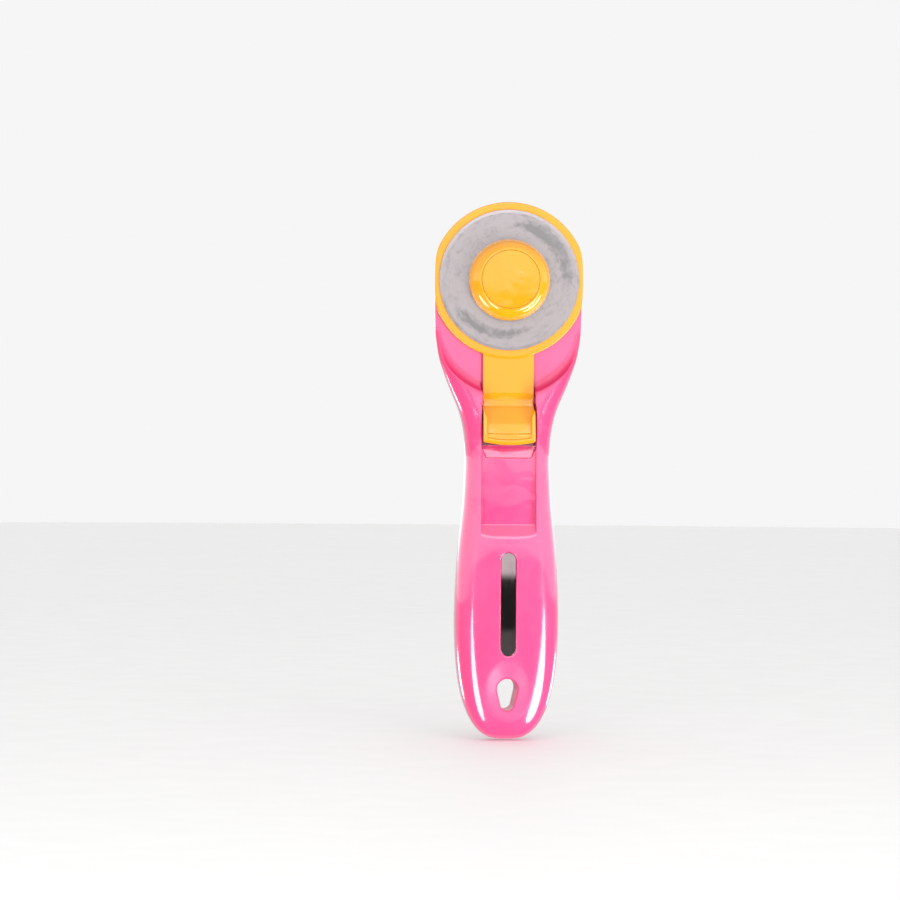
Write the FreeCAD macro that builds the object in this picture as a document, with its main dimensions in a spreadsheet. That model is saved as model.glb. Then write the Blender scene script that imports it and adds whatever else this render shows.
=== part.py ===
"""Rotary cutter with a quick-change 45 mm blade, in millimetres.

The blade turns about the Y axis and its middle plane is y = 0. The front, with the blade, faces -Y,
the head is at the top (+Z) and the grip hangs below it. Depths are y values: small ones are in front.
"""

import FreeCAD, Part
import math
import os
import re

import Sketcher

DIMENSIONS = {
    # blade and its pin
    "blade_diameter": 45.0,
    "blade_thickness": 0.3,
    "blade_bevel": 0.9,
    "blade_edge_thickness": 0.06,
    "pin_radius": 3.95,
    "pin_hole_radius": 4.0,
    "pin_neck_radius": 3.0,
    "pin_tip_radius": 3.1,
    "pin_front": -3.4,
    "pin_neck_start": 6.4,
    "pin_neck_end": 7.9,
    "pin_back": 9.4,
    "washer_radius": 9.5,
    "washer_front": -0.5,
    "washer_back": -0.2,
    "cap_radius": 13.0,
    "cap_foot": 1.2,
    "cap_foot_bevel": 0.5,
    "cap_front": -6.2,
    "cap_flat_radius": 9.4,
    "cap_flat_rim": 0.4,
    "cap_shoulder_radius": 5.2,
    "cap_disc_radius": 9.3,
    "cap_disc_depth": 1.6,
    "cap_disc_bevel": 0.15,
    # reach of cuts that pass right through a piece
    "through": 30.0,
    # guard
    "guard_radius": 25.1,
    "guard_half_width": 23.9,
    "guard_front": 0.35,
    "guard_back": 1.65,
    "guard_edge": 0.45,
    "guard_travel": 6.5,
    "boss_gap": 0.4,
    "strap_front": 0.65,
    "strap_half_width": 8.2,
    "strap_top": -20.0,
    "strap_end": -46.3,
    "step_top": -36.3,
    "step_depth": 1.05,
    "thumb_half_width": 8.35,
    "thumb_top": -40.4,
    "thumb_bottom": -53.0,
    "thumb_front": -5.2,
    "thumb_wing": 1.3,
    "thumb_under": -2.3,
    "thumb_shelf": -1.0,
    "thumb_brow_front": -4.1,
    "thumb_brow_height": -43.5,
    "thumb_brow_radius": 4.0,
    "thumb_face_height": -50.0,
    "thumb_lip_radius": 1.3,
    "thumb_lip_rise": 1.1,
    "thumb_end_rise": 1.0,
    "thumb_end_radius": 36.0,
    "scoop_top": -38.0,
    "scoop_bottom": -49.6,
    "scoop_floor": 1.2,
    "scoop_lip": 1.3,
    "scoop_radius": 8.0,
    "leg_inner": 2.4,
    "leg_outer": 3.6,
    "leg_top": -39.5,
    "leg_bottom": -43.5,
    "hook_reach": 1.1,
    "hook_front": 3.85,
    "hook_back": 5.2,
    # head of the handle
    "head_tip": 14.0,
    "head_height": -6.6,
    "head_half_width": 23.7,
    "head_front": -1.5,
    "head_back": 6.5,
    "pocket_radius": 25.0,
    "pocket_height": -12.2,
    "pocket_floor": 1.95,
    "plate_back": 3.45,
    "boss_radius": 6.2,
    "boss_front": 0.2,
    "boss_back": 6.2,
    "rib_outer": 7.6,
    "channel_half_width": 6.0,
    "channel_top": 5.3,
    "channel_bottom": -35.0,
    "spine_bottom": -42.0,
    "spine_back": 13.3,
    "spine_bend_height": -10.0,
    "spine_bend_radius": 43.5,
    "spine_tip": 11.0,
    "spine_tip_back": 7.9,
    "spine_brow": 12.2,
    "spine_brow_back": 5.45,
    "spine_root": 2.45,
    "groove_half_width": 6.9,
    "groove_front": 8.3,
    "groove_back": 9.9,
    "groove_bottom": -30.0,
    "leaf_point": -37.0,
    "leaf_side_height": -12.0,
    "leaf_half_width": 21.3,
    "leaf_top": 10.3,
    "leaf_flank_radius": 70.0,
    "leaf_crown_radius": 19.0,
    "window_inner": 9.6,
    "window_outer": 14.6,
    "window_top": 6.0,
    "window_bottom": -7.0,
    # outline of the neck and grip, station by station
    "cheek_height": -17.0,
    "cheek_half_width": 23.4,
    "cheek_front": -1.7,
    "cheek_back": 7.8,
    "shoulder_height": -26.0,
    "shoulder_half_width": 22.0,
    "shoulder_front": -2.6,
    "shoulder_back": 9.8,
    "collar_height": -34.5,
    "collar_half_width": 18.8,
    "collar_front": -3.4,
    "collar_back": 11.6,
    "throat_height": -42.5,
    "throat_half_width": 15.3,
    "throat_front": -4.0,
    "throat_back": 12.8,
    "neck_height": -50.0,
    "neck_half_width": 13.8,
    "neck_front": -4.2,
    "neck_back": 13.3,
    "waist_height": -58.0,
    "waist_half_width": 13.5,
    "waist_front": -4.3,
    "waist_back": 13.4,
    "grip_height": -72.0,
    "grip_half_width": 14.15,
    "grip_front": -4.8,
    "grip_back": 13.4,
    "palm_top_height": -88.0,
    "palm_top_half_width": 15.9,
    "palm_top_front": -5.0,
    "palm_top_back": 13.4,
    "palm_height": -105.0,
    "palm_half_width": 16.75,
    "palm_front": -5.0,
    "palm_back": 13.4,
    "tail_end": -147.6,
    "squareness": 3.2,
    "tail_roundness": 2.7,
    "depth_roundness": 4.0,
    "back_flat": 13.0,
    # front of the neck and grip
    "channel_side": 8.5,
    "thumb_window_top": -40.0,
    "thumb_window_half_width": 8.75,
    "ramp_foot": -53.3,
    "ramp_depth": -0.5,
    "ramp_top": -58.8,
    "ramp_top_half_width": 6.6,
    "ramp_overlap": 0.01,
    "recess_floor": -2.0,
    "recess_half_width": 8.8,
    "recess_floor_half_width": 8.65,
    "recess_bottom": -78.3,
    "recess_run_out": -82.5,
    "leg_slot_half_width": 3.9,
    "leg_slot_top": -39.2,
    "leg_slot_bottom": -50.4,
    "neck_cavity_top": -38.0,
    "neck_cavity_bottom": -63.0,
    "neck_cavity_half_width": 8.5,
    "grip_cavity_top": -62.0,
    "grip_cavity_bottom": -121.0,
    "grip_cavity_half_width": 10.6,
    "grip_cavity_front": -0.3,
    "cavity_back": 10.8,
    "badge_half_width": 2.45,
    "badge_top": -87.2,
    "badge_bottom": -120.3,
    "badge_floor": -3.7,
    "badge_front": -4.75,
    "hole_top_radius": 3.3,
    "hole_top_height": -131.0,
    "hole_bottom_radius": 2.2,
    "hole_bottom_height": -135.7,
    "dish_half_width": 7.4,
    "dish_half_height": 9.6,
    "dish_depth": 4.4,
    "dish_height": -132.0,
    "dish_front": -7.0,
    # back cover
    "cover_top": -54.0,
    "cover_front": 8.0,
    "lip_gap": 0.1,
    "lip_wall": 1.2,
    "lip_depth": 1.5,
    "lip_clear": 3.0,
    # release slider and springs
    "slider_half_width": 5.7,
    "slider_top": 5.0,
    "slider_bottom": -22.5,
    "slider_skirt": 8.2,
    "slider_under": 9.7,
    "slider_wall": 1.1,
    "slider_gap": 0.2,
    "tongue_reach": 0.9,
    "tongue_front": 8.6,
    "tongue_back": 9.6,
    "tongue_top": 3.0,
    "tongue_bottom": -20.0,
    "ridge_top": -15.5,
    "ridge_bottom": -22.5,
    "ridge_height": 1.4,
    "ridge_top_slope": 1.8,
    "ridge_bottom_slope": 1.6,
    "slider_foot_drop": 0.3,
    "wedge_half_width": 2.2,
    "wedge_top": -6.9,
    "wedge_bottom": -9.1,
    "wedge_front": 6.6,
    "wedge_root": 0.5,
    "wire_radius": 0.5,
    "wire_depth": 7.1,
    "wire_half_gap": 3.6,
    "wire_top": 4.8,
    "wire_bend_top": -5.0,
    "wire_foot_radius": 1.9,
    "anchor_height": -20.0,
    "anchor_radius": 1.35,
    "anchor_back": 8.0,
    "leaf_spring_half_width": 3.0,
    "leaf_spring_thickness": 0.4,
    "leaf_spring_belly": 5.6,
    "leaf_spring_back": 10.8,
    "leaf_spring_top": -38.6,
    "leaf_spring_bottom": -58.6,
    "leaf_spring_foot": 0.6,
}

STATIONS = (
    "head",
    "cheek",
    "shoulder",
    "collar",
    "throat",
    "neck",
    "waist",
    "grip",
    "palm_top",
    "palm",
)
SECTION_POINTS = 32
HEAD_STEPS = (0.28, 0.5, 0.68, 0.82, 0.92, 0.975, 0.997)
TAIL_STEPS = (0.22, 0.42, 0.58, 0.71, 0.81, 0.88, 0.93, 0.965, 0.988, 0.998)

TO_XZ = FreeCAD.Rotation(FreeCAD.Vector(1, 0, 0), 90)
TO_YZ = FreeCAD.Rotation(90, 0, 90)

doc = FreeCAD.newDocument("RotaryCutter")
sheet = doc.addObject("Spreadsheet::Sheet", "Dimensions")
for row, (alias, number) in enumerate(DIMENSIONS.items(), start=1):
    sheet.set(f"A{row}", alias)
    sheet.set(f"B{row}", str(number))
    sheet.setAlias(f"B{row}", alias)
doc.recompute()


def size(alias):
    """A driving dimension, read from the sheet."""
    return float(getattr(sheet, alias))


def bound(text):
    """The expression text with each dimension's name pointing at its cell."""

    def cell(match):
        word = match.group(0)
        return f"Dimensions.{word}" if word in DIMENSIONS else word

    return re.sub(r"[a-z][a-z0-9_]+", cell, text)


def bind(thing, prop, text):
    thing.setExpression(prop, bound(text))


def worked_out(text):
    """The value of an expression over the dimensions."""
    return float(sheet.evalExpression(bound(text)))


# --- sketches -------------------------------------------------------------------------------------


def arc_between(start, end, radius):
    """The short arc between two points, bulging to the right of its way for a positive radius."""
    way = end - start
    half = way.Length / 2
    left = FreeCAD.Vector(-way.y, way.x, 0).normalize()
    rise = math.sqrt(radius * radius - half * half)
    centre = (start + end) / 2 + left * math.copysign(rise, radius)
    circle = Part.Circle(centre, FreeCAD.Vector(0, 0, 1), abs(radius))
    first, last = (start, end) if radius > 0 else (end, start)
    angles = [math.atan2(p.y - centre.y, p.x - centre.x) for p in (first, last)]
    if angles[1] < angles[0]:
        angles[1] += 2 * math.pi
    return Part.ArcOfCircle(circle, *angles)


def draw(sketch, corners):
    """Draw a closed outline. Each corner is (across, up), or (across, up, radius) after an arc."""
    places = [FreeCAD.Vector(worked_out(c[0]), worked_out(c[1]), 0) for c in corners]
    for number, corner in enumerate(corners):
        start = places[number - 1]
        end = places[number]
        if len(corner) == 2:
            sketch.addGeometry(Part.LineSegment(start, end), False)
        else:
            sketch.addGeometry(arc_between(start, end, worked_out(corner[2])), False)
    starts_first = [len(c) == 2 or worked_out(c[2]) > 0 for c in corners]
    for number, corner in enumerate(corners):
        after = (number + 1) % len(corners)
        end_of = 2 if starts_first[number] else 1
        start_of = 1 if starts_first[after] else 2
        sketch.addConstraint(
            Sketcher.Constraint("Coincident", number, end_of, after, start_of)
        )
        for kind, text, reach in (
            ("DistanceX", corner[0], places[number].x),
            ("DistanceY", corner[1], places[number].y),
        ):
            index = sketch.addConstraint(
                Sketcher.Constraint(kind, -1, 1, number, end_of, reach)
            )
            bind(sketch, f"Constraints[{index}]", text)
        if len(corner) == 3:
            index = sketch.addConstraint(
                Sketcher.Constraint("Radius", number, abs(worked_out(corner[2])))
            )
            bind(sketch, f"Constraints[{index}]", f"abs({corner[2]})")
    return sketch


def body_sketch(body, name, role, corners, offset="0"):
    """A sketch on one of a body's own origin planes, moved along the plane's normal."""
    plane = next(f for f in body.Origin.OriginFeatures if f.Role == role)
    sketch = body.newObject("Sketcher::SketchObject", name)
    sketch.AttachmentSupport = [(plane, "")]
    sketch.MapMode = "FlatFace"
    bind(sketch, "AttachmentOffset.Base.z", offset)
    draw(sketch, corners)
    doc.recompute()
    return sketch


def feature(body, kind, name, sketch, length, both_ways=False, back=False):
    """A Pad or a Pocket of a sketch."""
    made = body.newObject(f"PartDesign::{kind}", name)
    made.Profile = sketch
    bind(made, "Length", length)
    if both_ways:
        made.SideType = "Symmetric"
    made.Reversed = back
    doc.recompute()
    return made


def turned_body(label, corners):
    """A round piece about the Y axis, from its half section as (radius, y) corners."""
    body = doc.addObject("PartDesign::Body", label)
    sketch = body_sketch(body, f"{label}_section", "XY_Plane", corners)
    turned = body.newObject("PartDesign::Revolution", f"{label}_turned")
    turned.Profile = sketch
    turned.ReferenceAxis = (sketch, ["V_Axis"])
    turned.Angle = 360
    doc.recompute()
    return body


# --- loose solids for the handle ------------------------------------------------------------------


def block(name, low, high):
    """A box between two corners, each three expressions."""
    box = doc.addObject("Part::Box", name)
    for prop, axis, near, far in zip(("Length", "Width", "Height"), "xyz", low, high):
        bind(box, prop, f"({far}) - ({near})")
        bind(box, f"Placement.Base.{axis}", near)
    return box


def disc(name, radius, height, front, back, across="0"):
    """A cylinder along Y between two depths, at a height."""
    cylinder = doc.addObject("Part::Cylinder", name)
    cylinder.Placement.Rotation = FreeCAD.Rotation(FreeCAD.Vector(1, 0, 0), -90)
    bind(cylinder, "Radius", radius)
    bind(cylinder, "Height", f"({back}) - ({front})")
    bind(cylinder, "Placement.Base.x", across)
    bind(cylinder, "Placement.Base.y", front)
    bind(cylinder, "Placement.Base.z", height)
    return cylinder


def prism(name, turn, corners, start, length, both_ways=False):
    """An outline in the XZ plane swept towards -Y, or in the YZ plane swept towards +X."""
    sketch = doc.addObject("Sketcher::SketchObject", f"{name}_outline")
    sketch.Placement.Rotation = turn
    axis = "y" if turn is TO_XZ else "x"
    bind(sketch, f"Placement.Base.{axis}", start)
    draw(sketch, corners)
    swept = doc.addObject("Part::Extrusion", name)
    swept.Base = sketch
    swept.DirMode = "Normal"
    swept.Solid = True
    swept.Symmetric = both_ways
    bind(swept, "LengthFwd", length)
    return swept


def joined(name, shapes):
    union = doc.addObject("Part::MultiFuse", name)
    union.Shapes = shapes
    return union


def cut(name, base, tool):
    left = doc.addObject("Part::Cut", name)
    left.Base = base
    left.Tool = tool
    return left


def shared(name, shapes):
    common = doc.addObject("Part::MultiCommon", name)
    common.Shapes = shapes
    return common


def made_of(name, shape):
    """A Part::Feature for a shape that no parametric feature makes."""
    thing = doc.addObject("Part::Feature", name)
    thing.Shape = shape
    thing.Placement = FreeCAD.Placement()
    return thing


def mirrored(name, source):
    """The same solid on the other side of the YZ plane."""
    other = doc.addObject("Part::Mirroring", name)
    other.Source = source
    other.Normal = FreeCAD.Vector(1, 0, 0)
    other.Base = FreeCAD.Vector(0, 0, 0)
    return other


# --- blade, pin and cap ---------------------------------------------------------------------------


def rotary_blade():
    rim = "blade_diameter / 2"
    face = "blade_thickness / 2"
    edge = "blade_edge_thickness / 2"
    return turned_body(
        "rotary_blade",
        [
            ("pin_hole_radius", f"-{face}"),
            (f"{rim} - blade_bevel", f"-{face}"),
            (rim, f"-{edge}"),
            (rim, edge),
            (f"{rim} - blade_bevel", face),
            ("pin_hole_radius", face),
        ],
    )


def blade_washer():
    return turned_body(
        "blade_washer",
        [
            ("pin_radius", "washer_front"),
            ("washer_radius", "washer_front"),
            ("washer_radius", "washer_back"),
            ("pin_radius", "washer_back"),
        ],
    )


def pin_shaft():
    return turned_body(
        "pin_shaft",
        [
            ("0", "pin_front"),
            ("pin_radius", "pin_front"),
            ("pin_radius", "pin_neck_start"),
            ("pin_neck_radius", "pin_neck_start"),
            ("pin_neck_radius", "pin_neck_end"),
            ("pin_radius", "pin_neck_end"),
            ("pin_tip_radius", "pin_back"),
            ("0", "pin_back"),
        ],
    )


def pin_cap():
    """A round cap with a foot, a rounded shoulder and a seat for the disc in its top."""
    return turned_body(
        "pin_cap",
        [
            ("0", "pin_front"),
            ("pin_radius", "pin_front"),
            ("pin_radius", "washer_front"),
            ("cap_radius - cap_foot_bevel", "washer_front"),
            ("cap_radius", "washer_front - cap_foot_bevel"),
            ("cap_radius", "washer_front - cap_foot"),
            ("cap_flat_radius + cap_flat_rim", "cap_front", "-cap_shoulder_radius"),
            ("cap_flat_radius", "cap_front"),
            ("cap_flat_radius", "cap_front + cap_disc_depth"),
            ("0", "cap_front + cap_disc_depth"),
        ],
    )


def cap_disc():
    return turned_body(
        "cap_disc",
        [
            ("0", "cap_front"),
            ("cap_disc_radius - cap_disc_bevel", "cap_front"),
            ("cap_disc_radius", "cap_front + cap_disc_bevel"),
            ("cap_disc_radius", "cap_front + cap_disc_depth"),
            ("0", "cap_front + cap_disc_depth"),
        ],
    )


# --- guard ----------------------------------------------------------------------------------------


def blade_guard():
    """Disc with side flats, strap, scooped thumb pad and two snap legs, in one moulding."""
    body = doc.addObject("PartDesign::Body", "blade_guard")
    flat_reach = "sqrt(guard_radius ^ 2 - guard_half_width ^ 2)"
    strap_reach = "sqrt(guard_radius ^ 2 - strap_half_width ^ 2)"
    ring = body_sketch(
        body,
        "disc_outline",
        "XZ_Plane",
        [
            ("strap_half_width", f"-{strap_reach}", "guard_radius"),
            ("guard_half_width", f"-{flat_reach}", "guard_radius"),
            ("guard_half_width", flat_reach),
            ("0", "guard_radius", "guard_radius"),
            ("-guard_half_width", flat_reach, "guard_radius"),
            ("-guard_half_width", f"-{flat_reach}"),
            ("-strap_half_width", f"-{strap_reach}", "guard_radius"),
        ],
        "-guard_back",
    )
    plate = feature(body, "Pad", "disc_plate", ring, "guard_back - guard_front")
    bevel = body.newObject("PartDesign::Chamfer", "disc_edge")
    front_edges = [
        f"Edge{number}"
        for number, edge in enumerate(plate.Shape.Edges, start=1)
        if abs(edge.BoundBox.YMax - size("guard_front")) < 1e-4
        and edge.BoundBox.YLength < 1e-4
    ]
    bevel.Base = (plate, front_edges)
    bind(bevel, "Size", "guard_edge")
    doc.recompute()

    strap = body_sketch(
        body,
        "strap_outline",
        "XZ_Plane",
        [
            ("-strap_half_width", "strap_top"),
            ("-strap_half_width", "strap_end"),
            ("strap_half_width", "strap_end"),
            ("strap_half_width", "strap_top"),
        ],
        "-guard_back",
    )
    feature(body, "Pad", "strap", strap, "guard_back - strap_front")

    thumb = body_sketch(
        body,
        "thumb_side",
        "YZ_Plane",
        [
            ("guard_back", "strap_end"),
            ("guard_back", "thumb_top"),
            ("thumb_shelf", "thumb_top"),
            ("thumb_brow_front", "thumb_brow_height", "thumb_brow_radius"),
            ("thumb_front", "thumb_face_height"),
            ("thumb_front", "thumb_bottom + thumb_lip_rise"),
            ("thumb_front + thumb_lip_rise", "thumb_bottom", "thumb_lip_radius"),
            ("thumb_under", "thumb_bottom"),
            ("thumb_under", "strap_end"),
        ],
    )
    feature(body, "Pad", "thumb_pad", thumb, "2 * thumb_half_width", both_ways=True)

    step = body_sketch(
        body,
        "step_side",
        "YZ_Plane",
        [
            ("-through", "step_top"),
            ("strap_front", "step_top"),
            ("step_depth", "scoop_top"),
            ("-through", "scoop_top"),
        ],
    )
    feature(body, "Pocket", "step", step, "2 * through", both_ways=True)

    scoop = body_sketch(
        body,
        "scoop_side",
        "YZ_Plane",
        [
            ("-through", "scoop_top"),
            ("step_depth", "scoop_top"),
            ("thumb_under - scoop_floor", "strap_end", "-scoop_radius"),
            ("thumb_front + scoop_lip", "scoop_bottom"),
            ("-through", "scoop_bottom"),
        ],
    )
    scoop_width = "2 * (thumb_half_width - thumb_wing)"
    feature(body, "Pocket", "scoop", scoop, scoop_width, both_ways=True)

    end_cut = body_sketch(
        body,
        "thumb_end_outline",
        "XZ_Plane",
        [
            ("-thumb_half_width", "thumb_bottom - thumb_end_rise"),
            ("thumb_half_width", "thumb_bottom - thumb_end_rise"),
            ("thumb_half_width", "thumb_bottom + thumb_end_rise"),
            ("-thumb_half_width", "thumb_bottom + thumb_end_rise", "-thumb_end_radius"),
        ],
        "through",
    )
    feature(body, "Pocket", "thumb_end", end_cut, "2 * through")

    bore = "boss_radius + boss_gap"
    slot = body_sketch(
        body,
        "boss_slot_outline",
        "XZ_Plane",
        [
            (f"-({bore})", "0"),
            ("0", f"-({bore})", bore),
            (bore, "0", bore),
            (bore, "guard_travel"),
            ("0", f"guard_travel + {bore}", bore),
            (f"-({bore})", "guard_travel", bore),
        ],
        "through",
    )
    feature(body, "Pocket", "boss_slot", slot, "2 * through")

    for side in ("", "-"):
        name = "right" if side == "" else "left"
        leg = body_sketch(
            body,
            f"{name}_leg_outline",
            "XZ_Plane",
            [
                (f"{side}leg_inner", "leg_top"),
                (f"{side}leg_inner", "leg_bottom"),
                (f"{side}leg_outer", "leg_bottom"),
                (f"{side}leg_outer", "leg_top"),
            ],
            "-hook_back",
        )
        feature(body, "Pad", f"{name}_leg", leg, "hook_back - step_depth")
        hook = body_sketch(
            body,
            f"{name}_hook_outline",
            "XZ_Plane",
            [
                (f"{side}leg_inner", "leg_top"),
                (f"{side}leg_inner", "leg_bottom"),
                (f"{side}(leg_outer + hook_reach)", "leg_bottom"),
                (f"{side}(leg_outer + hook_reach)", "leg_top"),
            ],
            "-hook_back",
        )
        feature(body, "Pad", f"{name}_hook", hook, "hook_back - hook_front")
    return body


# --- handle ---------------------------------------------------------------------------------------


def section(height, half_width, front, back):
    """A level slice of the handle: a squarish oval between its front and back depths."""
    power = 2 / size("squareness")
    middle = (front + back) / 2
    half_depth = (back - front) / 2
    points = []
    for step in range(SECTION_POINTS):
        angle = 2 * math.pi * step / SECTION_POINTS
        across = math.copysign(abs(math.cos(angle)) ** power, math.cos(angle))
        deep = math.copysign(abs(math.sin(angle)) ** power, math.sin(angle))
        points.append(
            FreeCAD.Vector(half_width * across, middle + half_depth * deep, height)
        )
    curve = Part.BSplineCurve()
    curve.interpolate(
        Points=points,
        PeriodicFlag=True,
        Parameters=[float(n) for n in range(SECTION_POINTS + 1)],
    )
    return Part.Wire(curve.toShape())


def end_sections(station, end, steps, roundness):
    """Slices that close the handle from a station towards its end."""
    height = size(f"{station}_height")
    front = size(f"{station}_front")
    back = size(f"{station}_back")
    middle = (front + back) / 2
    half_depth = (back - front) / 2
    depth_power = size("depth_roundness")
    slices = []
    for part_way in steps:
        narrow = (1 - part_way**roundness) ** (1 / roundness)
        thin = math.sqrt(1 - part_way**depth_power)
        slices.append(
            section(
                height + (size(end) - height) * part_way,
                size(f"{station}_half_width") * narrow,
                middle - half_depth * thin,
                middle + half_depth * thin,
            )
        )
    return slices


def outer_form():
    """The handle's outer surface as one solid, from the head's tip to the tail."""
    slices = list(reversed(end_sections("head", "head_tip", HEAD_STEPS, 2.0)))
    for station in STATIONS:
        slices.append(
            section(
                size(f"{station}_height"),
                size(f"{station}_half_width"),
                size(f"{station}_front"),
                size(f"{station}_back"),
            )
        )
    slices += end_sections("palm", "tail_end", TAIL_STEPS, size("tail_roundness"))
    loft = made_of("outer_loft", Part.makeLoft(slices, True, False))
    behind = block(
        "behind",
        ("-through", "back_flat", "tail_end - through"),
        ("through", "through", "through"),
    )
    return cut("outer_form", loft, behind)


def spine():
    """Block behind the head that becomes the two ribs and the end wall of the slider's channel."""
    return prism(
        "spine",
        TO_YZ,
        [
            ("spine_root", "spine_bottom"),
            ("spine_root", "spine_brow"),
            ("spine_brow_back", "spine_brow"),
            ("spine_tip_back", "spine_tip"),
            ("spine_back", "spine_bend_height", "-spine_bend_radius"),
            ("back_flat", "spine_bottom"),
        ],
        "0",
        "2 * rib_outer",
        both_ways=True,
    )


def hang_hole(name):
    """The hang hole's egg outline as a prism along Y, longer than the grip is deep."""
    upper = size("hole_top_radius")
    lower = size("hole_bottom_radius")
    front = -size("through")
    upper_height = size("hole_top_height")
    lower_height = size("hole_bottom_height")
    lean = (upper - lower) / (upper_height - lower_height)
    level = math.sqrt(1 - lean * lean)
    upper_x = upper * level
    upper_z = upper_height - upper * lean
    lower_x = lower * level
    lower_z = lower_height - lower * lean

    def at(across, height):
        return FreeCAD.Vector(across, front, height)

    outline = Part.Wire(
        [
            Part.Arc(
                at(-upper_x, upper_z), at(0, upper_height + upper), at(upper_x, upper_z)
            ).toShape(),
            Part.makeLine(at(upper_x, upper_z), at(lower_x, lower_z)),
            Part.Arc(
                at(lower_x, lower_z), at(0, lower_height - lower), at(-lower_x, lower_z)
            ).toShape(),
            Part.makeLine(at(-lower_x, lower_z), at(-upper_x, upper_z)),
        ]
    )
    solid = Part.Face(outline).extrude(FreeCAD.Vector(0, -2 * front, 0))
    return made_of(name, solid)


def hang_dish():
    """Shallow dish round the front of the hang hole."""
    dish = doc.addObject("Part::Ellipsoid", "hang_dish")
    bind(dish, "Radius1", "dish_half_height")
    bind(dish, "Radius2", "dish_half_width")
    bind(dish, "Radius3", "dish_depth")
    dish.Angle1 = -90
    dish.Angle2 = 90
    bind(dish, "Placement.Base.y", "dish_front")
    bind(dish, "Placement.Base.z", "dish_height")
    return dish


def head_cuts():
    """Everything taken out of the head: guard pocket, leaf hollows, windows, slider channel."""
    cuts = [
        disc("guard_pocket", "pocket_radius", "pocket_height", "-through", "pocket_floor"),
        block(
            "guard_room",
            ("-through", "-through", "pocket_height"),
            ("through", "pocket_floor", "through"),
        ),
        block(
            "slider_channel",
            ("-channel_half_width", "plate_back", "channel_bottom"),
            ("channel_half_width", "through", "channel_top"),
        ),
        block(
            "tongue_groove",
            ("-groove_half_width", "groove_front", "groove_bottom"),
            ("groove_half_width", "groove_back", "channel_top"),
        ),
    ]
    leaf = prism(
        "right_leaf",
        TO_XZ,
        [
            ("rib_outer", "leaf_point"),
            ("leaf_half_width", "leaf_side_height", "leaf_flank_radius"),
            ("rib_outer", "leaf_top", "leaf_crown_radius"),
        ],
        "through",
        "through - plate_back",
    )
    opening = block(
        "right_window",
        ("window_inner", "0", "window_bottom"),
        ("window_outer", "through", "window_top"),
    )
    cuts += [leaf, mirrored("left_leaf", leaf)]
    cuts += [opening, mirrored("left_window", opening)]
    return cuts


def front_cuts():
    """The guard's channel, thumb window, ramp, recess, badge seat and hang hole."""
    far = "-through"
    channel = block(
        "strap_channel",
        ("-channel_side", far, "ramp_foot"),
        ("channel_side", "pocket_floor", "strap_top"),
    )
    window = block(
        "thumb_window",
        ("-thumb_window_half_width", far, "ramp_foot"),
        ("thumb_window_half_width", "pocket_floor", "thumb_window_top"),
    )
    ramp_foot = "ramp_foot + ramp_overlap"
    above_ramp = prism(
        "above_ramp",
        TO_YZ,
        [
            (far, ramp_foot),
            ("ramp_depth", ramp_foot),
            ("recess_floor", "ramp_top"),
            (far, "ramp_top"),
        ],
        "0",
        "2 * through",
        both_ways=True,
    )
    ramp_sides = prism(
        "ramp_sides",
        TO_XZ,
        [
            ("-thumb_window_half_width", ramp_foot),
            ("-ramp_top_half_width", "ramp_top"),
            ("ramp_top_half_width", "ramp_top"),
            ("thumb_window_half_width", ramp_foot),
        ],
        "through",
        "2 * through",
    )
    ramp = shared("ramp", [above_ramp, ramp_sides])
    recess_length = prism(
        "recess_length",
        TO_YZ,
        [
            (far, "ramp_foot"),
            ("recess_floor", "ramp_foot"),
            ("recess_floor", "recess_bottom"),
            ("palm_front", "recess_run_out"),
            (far, "recess_run_out"),
        ],
        "0",
        "2 * through",
        both_ways=True,
    )
    half_floor = "recess_floor_half_width"
    half_mouth = "recess_half_width"
    recess_section = doc.addObject("Sketcher::SketchObject", "recess_section_outline")
    bind(recess_section, "Placement.Base.z", "recess_run_out")
    draw(
        recess_section,
        [
            (f"-{half_floor}", "recess_floor"),
            (f"-{half_mouth}", "palm_front"),
            (f"-{half_mouth}", far),
            (half_mouth, far),
            (half_mouth, "palm_front"),
            (half_floor, "recess_floor"),
        ],
    )
    recess_width = doc.addObject("Part::Extrusion", "recess_width")
    recess_width.Base = recess_section
    recess_width.DirMode = "Normal"
    recess_width.Solid = True
    bind(recess_width, "LengthFwd", "ramp_foot - recess_run_out")
    recess = shared("recess", [recess_length, recess_width])
    badge_ends = [
        disc(
            f"badge_{end}_end",
            "badge_half_width",
            f"badge_{end} {sign} badge_half_width",
            far,
            "badge_floor",
        )
        for end, sign in (("top", "-"), ("bottom", "+"))
    ]
    badge_middle = block(
        "badge_middle",
        ("-badge_half_width", far, "badge_bottom + badge_half_width"),
        ("badge_half_width", "badge_floor", "badge_top - badge_half_width"),
    )
    leg_slot = block(
        "leg_slot",
        ("-leg_slot_half_width", "0", "leg_slot_bottom"),
        ("leg_slot_half_width", "hook_back", "leg_slot_top"),
    )
    cuts = [channel, window, ramp, recess, badge_middle, leg_slot, hang_dish()]
    return cuts + badge_ends + [hang_hole("hang_hole")]


def neck_cavity():
    return block(
        "neck_cavity",
        ("-neck_cavity_half_width", "plate_back", "neck_cavity_bottom"),
        ("neck_cavity_half_width", "cavity_back", "neck_cavity_top"),
    )


def grip_cavity():
    return block(
        "grip_cavity",
        ("-grip_cavity_half_width", "grip_cavity_front", "grip_cavity_bottom"),
        ("grip_cavity_half_width", "cavity_back", "grip_cavity_top"),
    )


def cover_space():
    return block(
        "cover_space",
        ("-through", "cover_front", "tail_end - through"),
        ("through", "through", "cover_top"),
    )


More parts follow.
